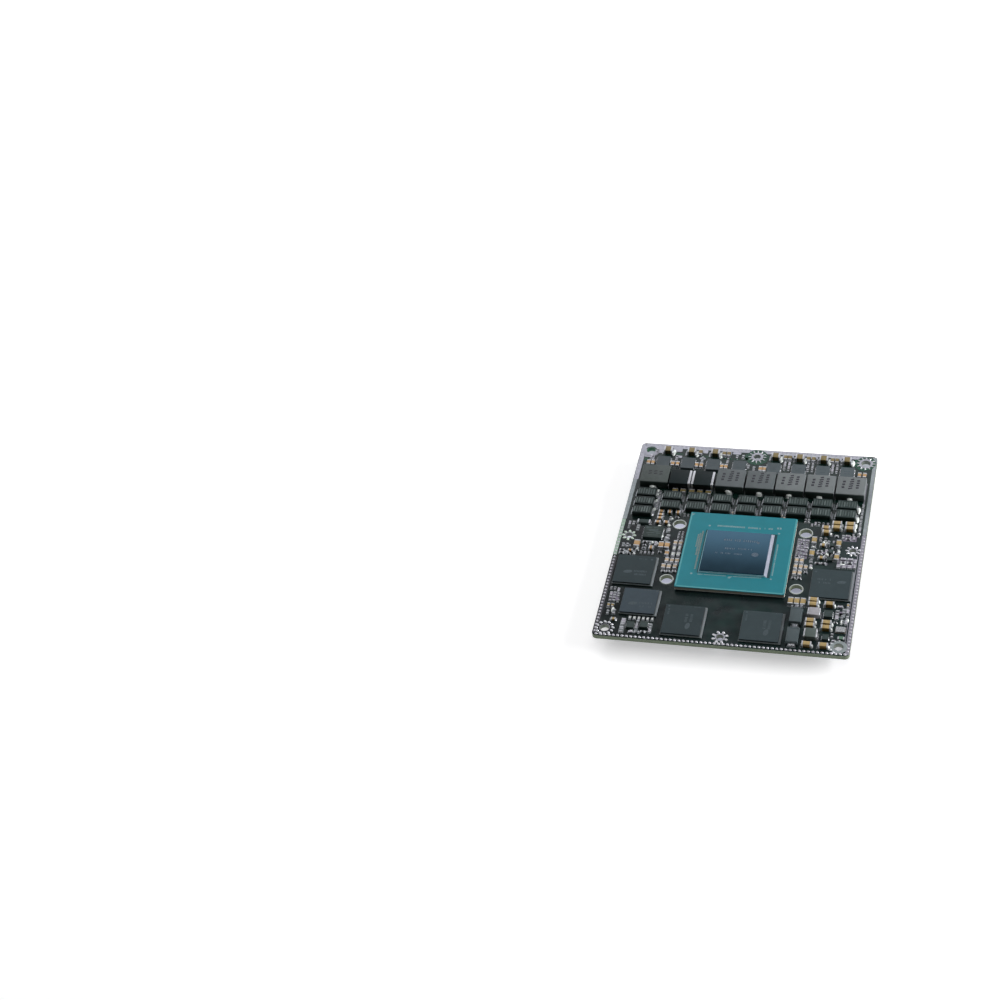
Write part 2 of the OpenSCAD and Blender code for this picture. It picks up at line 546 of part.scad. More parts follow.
module bulk_capacitor_bodies() { color([0.58, 0.47, 0.3]) chip_bodies(bulk_capacitors, board_top); }
module bulk_capacitor_terminals() { color("silver") chip_ends(bulk_capacitors, board_top); }
module input_capacitor_bodies() { color([0.72, 0.57, 0.38]) chip_bodies(input_capacitors, board_top); }
module input_capacitor_terminals() { color("silver") chip_ends(input_capacitors, board_top); }
module gate_resistor_bodies() { color([0.12, 0.12, 0.13]) chip_bodies(gate_resistors, board_top); }
module gate_resistor_terminals() { color("silver") chip_ends(gate_resistors, board_top); }

// ---------- small components by place ----------

module left_capacitor_bodies() { color([0.72, 0.57, 0.38]) chip_bodies(left_capacitors, board_top); }
module left_capacitor_terminals() { color("silver") chip_ends(left_capacitors, board_top); }
module left_resistor_bodies() { color([0.12, 0.12, 0.13]) chip_bodies(left_resistors, board_top); }
module left_resistor_terminals() { color("silver") chip_ends(left_resistors, board_top); }
module right_capacitor_bodies() { color([0.76, 0.6, 0.38]) chip_bodies(right_capacitors, board_top); }
module right_capacitor_terminals() { color("silver") chip_ends(right_capacitors, board_top); }
module right_resistor_bodies() { color([0.12, 0.12, 0.13]) chip_bodies(right_resistors, board_top); }
module right_resistor_terminals() { color("silver") chip_ends(right_resistors, board_top); }
module corner_capacitor_bodies() { color([0.76, 0.6, 0.38]) chip_bodies(corner_capacitors, board_top); }
module corner_capacitor_terminals() { color("silver") chip_ends(corner_capacitors, board_top); }
module corner_resistor_bodies() { color([0.12, 0.12, 0.13]) chip_bodies(corner_resistors, board_top); }
module corner_resistor_terminals() { color("silver") chip_ends(corner_resistors, board_top); }

module filter_inductor_cores() {
    color([0.62, 0.61, 0.62])
    for (f = filter_inductors)
        translate([f[0], f[1], board_top + 0.1]) chamfered_block(f[2] - 1, f[3], f[4] - 0.1, 0.15);
}

module filter_inductor_terminals() {
    color("silver")
    for (f = filter_inductors, s = [-1, 1])
        translate([f[0] + s * (f[2] / 2 - 0.25), f[1], board_top + (f[4] - 0.1) / 2])
            cube([0.5, f[3] - 0.3, f[4] - 0.1], center = true);
}

module sense_resistor_body() { color([0.35, 0.37, 0.37]) chip_bodies([sense_resistor], board_top); }
module sense_resistor_terminals() { color("silver") chip_ends([sense_resistor], board_top); }

module controller_chip() {
    color([0.25, 0.28, 0.28])
    translate([controller_at[0], controller_at[1], board_top + 0.05])
        chamfered_block(controller_size[0], controller_size[1], controller_size[2] - 0.05, 0.08);
}

module controller_chip_lands() {
    color("silver") edge_lands(controller_at, controller_size, 0.65, [0.55, 0.32], board_top);
}

module regulator_chips() {
    color([0.2, 0.22, 0.23])
    for (c = regulators)
        translate([c[0], c[1], board_top + 0.05]) chamfered_block(c[2], c[3], c[4] - 0.05, 0.05);
}

module regulator_chip_lands() {
    color("silver")
    for (c = regulators) edge_lands([c[0], c[1]], [c[2], c[3]], 0.5, [0.4, 0.28], board_top);
}

// Metal lid on a ceramic base
module clock_crystal_can() {
    color([0.68, 0.7, 0.7])
    translate([crystal_at[0], crystal_at[1], board_top + 0.3])
        linear_extrude(crystal_size[2] - 0.3) round_outline(crystal_size[0] - 0.3, crystal_size[1] - 0.3, 0.3);
}

module clock_crystal_base() {
    color([0.35, 0.33, 0.3])
    translate([crystal_at[0], crystal_at[1], board_top])
        linear_extrude(0.3) round_outline(crystal_size[0], crystal_size[1], 0.2);
}

module status_lamp_body() {
    color([0.62, 0.78, 0.66])
    translate([lamp_at[0], lamp_at[1], board_top + 0.3]) cube([1.3, 1.2, 0.6], center = true);
}

module status_lamp_terminals() {
    color("silver")
    for (s = [-1, 1]) translate([lamp_at[0] + s * 0.9, lamp_at[1], board_top + 0.2]) cube([0.5, 1.2, 0.4], center = true);
}

// ---------- underside ----------

// Housing with one groove for each row of contacts, open downwards
module connector_housing() {
    color([0.1, 0.1, 0.11])
    difference() {
        translate([0, connector_y, 0]) linear_extrude(connector_h - 0.3)
            round_outline(connector_w, connector_d, 0.8);
        for (r = [0 : contact_rows - 1])
            translate([-connector_w / 2 + 1.4, connector_y + (r - (contact_rows - 1) / 2) * contact_row_pitch - groove_w / 2, -1])
                cube([connector_w - 2.8, groove_w, groove_depth + 1]);
    }
}

// Upright contact blades, one side of each groove
module connector_contacts() {
    color([0.85, 0.7, 0.35])
    for (r = [0 : contact_rows - 1], i = [0 : contacts_per_row - 1])
        translate([(i - (contacts_per_row - 1) / 2) * contact_pitch,
                   connector_y + (r - (contact_rows - 1) / 2) * contact_row_pitch - groove_w / 2 + 0.15,
                   groove_depth / 2 + 0.2])
            cube([0.6, 0.3, groove_depth - 0.4], center = true);
}

module connector_solder_balls() {
    color("silver")
    ball_ring([0, connector_y], connector_w, connector_d, 1.5, 0.6, connector_h - 0.3, 0.3);
}

module underside_capacitor_bodies() { color([0.72, 0.57, 0.38]) chip_bodies(underside_capacitors, board_bottom, -1); }
module underside_capacitor_terminals() { color("silver") chip_ends(underside_capacitors, board_bottom, -1); }

circuit_board();
processor_carrier();
processor_die();
processor_underfill();
processor_solder_balls();
memory_chip_left();
memory_chip_front_left();
memory_chip_front_right();
memory_chip_right();
memory_substrates();
memory_solder_balls();
storage_chip();
storage_substrate();
storage_solder_balls();
power_inductor_cores();
power_inductor_terminals();
small_inductor_cores();
small_inductor_terminals();
polymer_capacitors_back_row();
polymer_capacitors_front_row();
polymer_capacitors_side();
polymer_capacitor_terminals();
power_stage_chips();
power_stage_lands();
bulk_capacitor_bodies();
bulk_capacitor_terminals();
input_capacitor_bodies();
input_capacitor_terminals();
gate_resistor_bodies();
gate_resistor_terminals();
left_capacitor_bodies();
left_capacitor_terminals();
left_resistor_bodies();
left_resistor_terminals();
right_capacitor_bodies();
right_capacitor_terminals();
right_resistor_bodies();
right_resistor_terminals();
corner_capacitor_bodies();
corner_capacitor_terminals();
corner_resistor_bodies();
corner_resistor_terminals();
filter_inductor_cores();
filter_inductor_terminals();
sense_resistor_body();
sense_resistor_terminals();
controller_chip();
controller_chip_lands();
regulator_chips();
regulator_chip_lands();
clock_crystal_can();
clock_crystal_base();
status_lamp_body();
status_lamp_terminals();
connector_housing();
connector_contacts();
connector_solder_balls();
underside_capacitor_bodies();
underside_capacitor_terminals();
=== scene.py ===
import math
import random

import bpy
import bmesh
from mathutils import Matrix, Vector


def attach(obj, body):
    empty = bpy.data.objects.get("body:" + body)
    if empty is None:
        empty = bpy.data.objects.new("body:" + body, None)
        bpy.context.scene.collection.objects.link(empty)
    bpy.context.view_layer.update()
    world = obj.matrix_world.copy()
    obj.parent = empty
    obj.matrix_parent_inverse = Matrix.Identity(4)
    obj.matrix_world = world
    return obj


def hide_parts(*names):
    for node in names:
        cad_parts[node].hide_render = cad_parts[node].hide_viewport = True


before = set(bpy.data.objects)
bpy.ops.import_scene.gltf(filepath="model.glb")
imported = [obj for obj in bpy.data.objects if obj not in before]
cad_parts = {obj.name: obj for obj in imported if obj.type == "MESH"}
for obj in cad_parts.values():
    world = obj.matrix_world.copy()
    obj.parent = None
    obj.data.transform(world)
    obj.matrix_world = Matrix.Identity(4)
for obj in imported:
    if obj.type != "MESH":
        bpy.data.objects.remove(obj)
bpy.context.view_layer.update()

MM = 0.001
TOP = 5.6       # height of the board's upper face, mm
BOTTOM = 4.0    # height of the board's lower face, mm
rng = random.Random(7)


# ---------------------------------------------------------------- camera

RIGHT = Vector((0.9670643, 0.2256612, -0.1177440))
DOWN = Vector((0.0671586, -0.6724159, -0.7371205))
FORWARD = Vector((-0.2455124, 0.7049354, -0.6654245))

cam_data = bpy.data.cameras.new("camera")
cam_data.sensor_fit = "HORIZONTAL"
cam_data.sensor_width = 36.0
cam_data.lens = 73.447
cam_data.clip_start = 0.01
cam_data.clip_end = 20.0
cam_data.dof.use_dof = False
cam = bpy.data.objects.new("camera", cam_data)
bpy.context.scene.collection.objects.link(cam)
turn = Matrix((RIGHT, -DOWN, -FORWARD)).transposed().to_4x4()
cam.matrix_world = Matrix.Translation(Vector((93.9054, -515.6769, 505.1286)) * MM) @ turn
bpy.context.scene.camera = cam


# ---------------------------------------------------------------- materials

def material(name, color, rough, metallic=0.0, vary=0.12, vary_mm=1.5, rough_vary=0.08,
             bump=0.0, bump_mm=0.3, coat=0.0, coat_rough=0.2, ior=None, spec=None, grain=0.0, tint=None):
    """Principled surface with colour drift at vary_mm, roughness drift, and a fine bump whose grains are bump_mm wide."""
    m = bpy.data.materials.new(name)
    m.use_nodes = True
    nt = m.node_tree
    b = nt.nodes["Principled BSDF"]
    b.inputs["Metallic"].default_value = metallic
    b.inputs["Coat Weight"].default_value = coat
    b.inputs["Coat Roughness"].default_value = coat_rough
    if ior is not None:
        b.inputs["IOR"].default_value = ior
    if spec is not None:
        b.inputs["Specular IOR Level"].default_value = spec
    tc = nt.nodes.new("ShaderNodeTexCoord")
    n1 = nt.nodes.new("ShaderNodeTexNoise")
    n1.inputs["Scale"].default_value = 1000.0 / vary_mm
    n1.inputs["Detail"].default_value = 5.0
    nt.links.new(tc.outputs["Object"], n1.inputs["Vector"])
    ramp = nt.nodes.new("ShaderNodeValToRGB")
    lo = [c * (1 - vary) for c in color]
    hi = [min(1.0, c * (1 + vary)) for c in color]
    if tint is not None:
        hi = [min(1.0, c * (1 + vary) * t) for c, t in zip(color, tint)]
    ramp.color_ramp.elements[0].position = 0.3
    ramp.color_ramp.elements[0].color = (*lo, 1)
    ramp.color_ramp.elements[1].position = 0.7
    ramp.color_ramp.elements[1].color = (*hi, 1)
    nt.links.new(n1.outputs["Fac"], ramp.inputs["Fac"])
    colour = ramp.outputs["Color"]
    if grain > 0:
        n4 = nt.nodes.new("ShaderNodeTexNoise")
        n4.inputs["Scale"].default_value = 1000.0 / 0.12
        n4.inputs["Detail"].default_value = 2.0
        nt.links.new(tc.outputs["Object"], n4.inputs["Vector"])
        gr = nt.nodes.new("ShaderNodeMapRange")
        gr.inputs["From Min"].default_value = 0.3
        gr.inputs["From Max"].default_value = 0.7
        gr.inputs["To Min"].default_value = 1 - grain
        gr.inputs["To Max"].default_value = 1 + grain
        nt.links.new(n4.outputs["Fac"], gr.inputs["Value"])
        mul = nt.nodes.new("ShaderNodeVectorMath")
        mul.operation = "MULTIPLY"
        nt.links.new(colour, mul.inputs[0])
        nt.links.new(gr.outputs["Result"], mul.inputs[1])
        colour = mul.outputs["Vector"]
    nt.links.new(colour, b.inputs["Base Color"])
    n2 = nt.nodes.new("ShaderNodeTexNoise")
    n2.inputs["Scale"].default_value = 1000.0 / (vary_mm * 0.6)
    n2.inputs["Detail"].default_value = 3.0
    nt.links.new(tc.outputs["Object"], n2.inputs["Vector"])
    mr = nt.nodes.new("ShaderNodeMapRange")
    mr.inputs["From Min"].default_value = 0.3
    mr.inputs["From Max"].default_value = 0.7
    mr.inputs["To Min"].default_value = max(0.02, rough - rough_vary)
    mr.inputs["To Max"].default_value = min(1.0, rough + rough_vary)
    nt.links.new(n2.outputs["Fac"], mr.inputs["Value"])
    nt.links.new(mr.outputs["Result"], b.inputs["Roughness"])
    if bump > 0:
        n3 = nt.nodes.new("ShaderNodeTexNoise")
        n3.inputs["Scale"].default_value = 1000.0 / bump_mm
        n3.inputs["Detail"].default_value = 4.0
        nt.links.new(tc.outputs["Object"], n3.inputs["Vector"])
        bp = nt.nodes.new("ShaderNodeBump")
        bp.inputs["Strength"].default_value = bump
        bp.inputs["Distance"].default_value = bump_mm * MM * 0.15
        nt.links.new(n3.outputs["Fac"], bp.inputs["Height"])
        nt.links.new(bp.outputs["Normal"], b.inputs["Normal"])
    return m


def srgb(r, g, b):
    def lin(v):
        v /= 255.0
        return v / 12.92 if v <= 0.04045 else ((v + 0.055) / 1.055) ** 2.4
    return (lin(r), lin(g), lin(b))


MASK = (0.0105, 0.0195, 0.0215)


def shade_along_x(m, left, right, x0=-0.04, x1=0.04):
    """Base colour scaled along the board's width: painted shade, darker towards the left where the light falls off."""
    nt = m.node_tree
    b = nt.nodes["Principled BSDF"]
    old = b.inputs["Base Color"].links[0].from_socket
    tc = nt.nodes.new("ShaderNodeTexCoord")
    sp = nt.nodes.new("ShaderNodeSeparateXYZ")
    nt.links.new(tc.outputs["Object"], sp.inputs["Vector"])
    mr = nt.nodes.new("ShaderNodeMapRange")
    for k, v in (("From Min", x0), ("From Max", x1), ("To Min", left), ("To Max", right)):
        mr.inputs[k].default_value = v
    nt.links.new(sp.outputs["X"], mr.inputs["Value"])
    vm = nt.nodes.new("ShaderNodeVectorMath"); vm.operation = "SCALE"
    nt.links.new(old, vm.inputs[0])
    nt.links.new(mr.outputs["Result"], vm.inputs["Scale"])
    nt.links.new(vm.outputs["Vector"], b.inputs["Base Color"])
    return m


def board_material():
    """Glossy near-black mask on both faces, green-grey laminate on the edges with its plies."""
    m = material("solder_mask", MASK, 0.22, vary=0.25, vary_mm=6, rough_vary=0.05, bump=0.12, bump_mm=0.5, spec=0.4, tint=(0.75, 1.2, 1.0))
    nt = m.node_tree
    b = nt.nodes["Principled BSDF"]
    # mask colour halved towards the left edge: painted shade
    shade_along_x(m, 0.5, 1.0, -0.032, -0.004)
    old = b.inputs["Base Color"].links[0].from_socket
    where = nt.nodes.new("ShaderNodeTexCoord")
    sw = nt.nodes.new("ShaderNodeSeparateXYZ")
    nt.links.new(where.outputs["Object"], sw.inputs["Vector"])
    my = nt.nodes.new("ShaderNodeMapRange")
    my.inputs["From Min"].default_value = 6 * MM
    my.inputs["From Max"].default_value = 16 * MM
    nt.links.new(sw.outputs["Y"], my.inputs["Value"])
    power = nt.nodes.new("ShaderNodeMix"); power.data_type = "RGBA"
    nt.links.new(my.outputs["Result"], power.inputs["Factor"])
    nt.links.new(old, power.inputs[6])
    power.inputs[7].default_value = (0.0040, 0.0190, 0.0140, 1)
    old = power.outputs[2]
    geo = nt.nodes.new("ShaderNodeNewGeometry")
    sep = nt.nodes.new("ShaderNodeSeparateXYZ")
    nt.links.new(geo.outputs["Normal"], sep.inputs["Vector"])
    ab = nt.nodes.new("ShaderNodeMath"); ab.operation = "ABSOLUTE"
    nt.links.new(sep.outputs["Z"], ab.inputs[0])
    lt = nt.nodes.new("ShaderNodeMath"); lt.operation = "LESS_THAN"
    nt.links.new(ab.outputs[0], lt.inputs[0])
    lt.inputs[1].default_value = 0.5
    # plies: thin brighter and darker lines through the thickness
    pos = nt.nodes.new("ShaderNodeTexCoord")
    sp = nt.nodes.new("ShaderNodeSeparateXYZ")
    nt.links.new(pos.outputs["Object"], sp.inputs["Vector"])
    mu = nt.nodes.new("ShaderNodeMath"); mu.operation = "MULTIPLY"
    nt.links.new(sp.outputs["Z"], mu.inputs[0])
    mu.inputs[1].default_value = 2 * math.pi / (0.2 * MM)
    si = nt.nodes.new("ShaderNodeMath"); si.operation = "SINE"
    nt.links.new(mu.outputs[0], si.inputs[0])
    ply = nt.nodes.new("ShaderNodeValToRGB")
    ply.color_ramp.elements[0].position = 0.15
    ply.color_ramp.elements[0].color = (*srgb(86, 100, 82), 1)
    ply.color_ramp.elements[1].position = 0.85
    ply.color_ramp.elements[1].color = (*srgb(130, 140, 118), 1)
    mr = nt.nodes.new("ShaderNodeMapRange")
    mr.inputs["From Min"].default_value = -1
    nt.links.new(si.outputs[0], mr.inputs["Value"])
    nt.links.new(mr.outputs["Result"], ply.inputs["Fac"])
    mix = nt.nodes.new("ShaderNodeMix"); mix.data_type = "RGBA"
    nt.links.new(lt.outputs[0], mix.inputs["Factor"])
    nt.links.new(old, mix.inputs[6])
    nt.links.new(ply.outputs["Color"], mix.inputs[7])
    nt.links.new(mix.outputs[2], b.inputs["Base Color"])
    rough_old = b.inputs["Roughness"].links[0].from_socket
    mixr = nt.nodes.new("ShaderNodeMix"); mixr.data_type = "FLOAT"
    nt.links.new(lt.outputs[0], mixr.inputs["Factor"])
    nt.links.new(rough_old, mixr.inputs[2])
    mixr.inputs[3].default_value = 0.7
    nt.links.new(mixr.outputs[0], b.inputs["Roughness"])
    return m


def carrier_material():
    """Teal top, brown plies on the four sides, their colours painted far paler than the laminate: painted light on
    walls that stand in shade.
    """
    m = material("carrier_laminate", srgb(11, 119, 131), 0.42, vary=0.05, vary_mm=5, rough_vary=0.05, bump=0.1, bump_mm=0.4, spec=0.2)
    nt = m.node_tree
    b = nt.nodes["Principled BSDF"]
    old = b.inputs["Base Color"].links[0].from_socket
    pos = nt.nodes.new("ShaderNodeTexCoord")
    sp = nt.nodes.new("ShaderNodeSeparateXYZ")
    nt.links.new(pos.outputs["Object"], sp.inputs["Vector"])
    mr = nt.nodes.new("ShaderNodeMapRange")
    mr.inputs["From Min"].default_value = 6.1 * MM
    mr.inputs["From Max"].default_value = 7.6 * MM
    nt.links.new(sp.outputs["Z"], mr.inputs["Value"])
    ramp = nt.nodes.new("ShaderNodeValToRGB")
    e = ramp.color_ramp.elements
    stops = [(0.0, (130, 146, 142)), (0.14, (226, 226, 216)), (0.2, (240, 242, 234)), (0.3, (186, 182, 168)),
             (0.52, (152, 146, 132)), (0.7, (170, 164, 148)), (0.8, (130, 156, 150)), (0.92, (66, 152, 162))]
    e[0].position, e[0].color = stops[0][0], (*srgb(*stops[0][1]), 1)
    e[1].position, e[1].color = stops[-1][0], (*srgb(*stops[-1][1]), 1)
    for p, c in stops[1:-1]:
        x = e.new(p)
        x.color = (*srgb(*c), 1)
    nt.links.new(mr.outputs["Result"], ramp.inputs["Fac"])
    geo = nt.nodes.new("ShaderNodeNewGeometry")
    sn = nt.nodes.new("ShaderNodeSeparateXYZ")
    nt.links.new(geo.outputs["Normal"], sn.inputs["Vector"])
    ab = nt.nodes.new("ShaderNodeMath"); ab.operation = "ABSOLUTE"
    nt.links.new(sn.outputs["Z"], ab.inputs[0])
    lt = nt.nodes.new("ShaderNodeMath"); lt.operation = "LESS_THAN"
    nt.links.new(ab.outputs[0], lt.inputs[0])
    lt.inputs[1].default_value = 0.5
    mix = nt.nodes.new("ShaderNodeMix"); mix.data_type = "RGBA"
    nt.links.new(lt.outputs[0], mix.inputs["Factor"])
    nt.links.new(old, mix.inputs[6])
    nt.links.new(ramp.outputs["Color"], mix.inputs[7])
    nt.links.new(mix.outputs[2], b.inputs["Base Color"])
    return m


def facing_painted_light(name, top, side, rough, lean=(0.15, 0.8), right=None, **more):
    """Surface whose upright faces have another colour than its flat ones, and those turned right a third: painted shade
    and painted light by facing, standing in for how the lamps fall on each face.
    """
    m = material(name, top, rough, **more)
    nt = m.node_tree
    b = nt.nodes["Principled BSDF"]
    old = b.inputs["Base Color"].links[0].from_socket
    geo = nt.nodes.new("ShaderNodeNewGeometry")
    sn = nt.nodes.new("ShaderNodeSeparateXYZ")
    nt.links.new(geo.outputs["Normal"], sn.inputs["Vector"])
    ab = nt.nodes.new("ShaderNodeMath"); ab.operation = "ABSOLUTE"
    nt.links.new(sn.outputs["Z"], ab.inputs[0])
    mr = nt.nodes.new("ShaderNodeMapRange")
    mr.inputs["From Min"].default_value = lean[0]
    mr.inputs["From Max"].default_value = lean[1]
    nt.links.new(ab.outputs[0], mr.inputs["Value"])
    mix = nt.nodes.new("ShaderNodeMix"); mix.data_type = "RGBA"
    nt.links.new(mr.outputs["Result"], mix.inputs["Factor"])
    mix.inputs[6].default_value = (*side, 1)
    if right:
        mx = nt.nodes.new("ShaderNodeMapRange")
        mx.inputs["From Min"].default_value = 0.3
        mx.inputs["From Max"].default_value = 0.8
        nt.links.new(sn.outputs["X"], mx.inputs["Value"])
        wall = nt.nodes.new("ShaderNodeMix"); wall.data_type = "RGBA"
        nt.links.new(mx.outputs["Result"], wall.inputs["Factor"])
        wall.inputs[6].default_value = (*side, 1)
        wall.inputs[7].default_value = (*right, 1)
        nt.links.new(wall.outputs[2], mix.inputs[6])
    nt.links.new(old, mix.inputs[7])
    nt.links.new(mix.outputs[2], b.inputs["Base Color"])
    return m


# ceramic bodies whose upright faces are painted darker than their tops: painted shade
def ceramic(name, top, side):
    return facing_painted_light(name, top, side, 0.38, vary=0.1, vary_mm=0.9, bump=0.15, bump_mm=0.15, grain=0.05, spec=0.35)


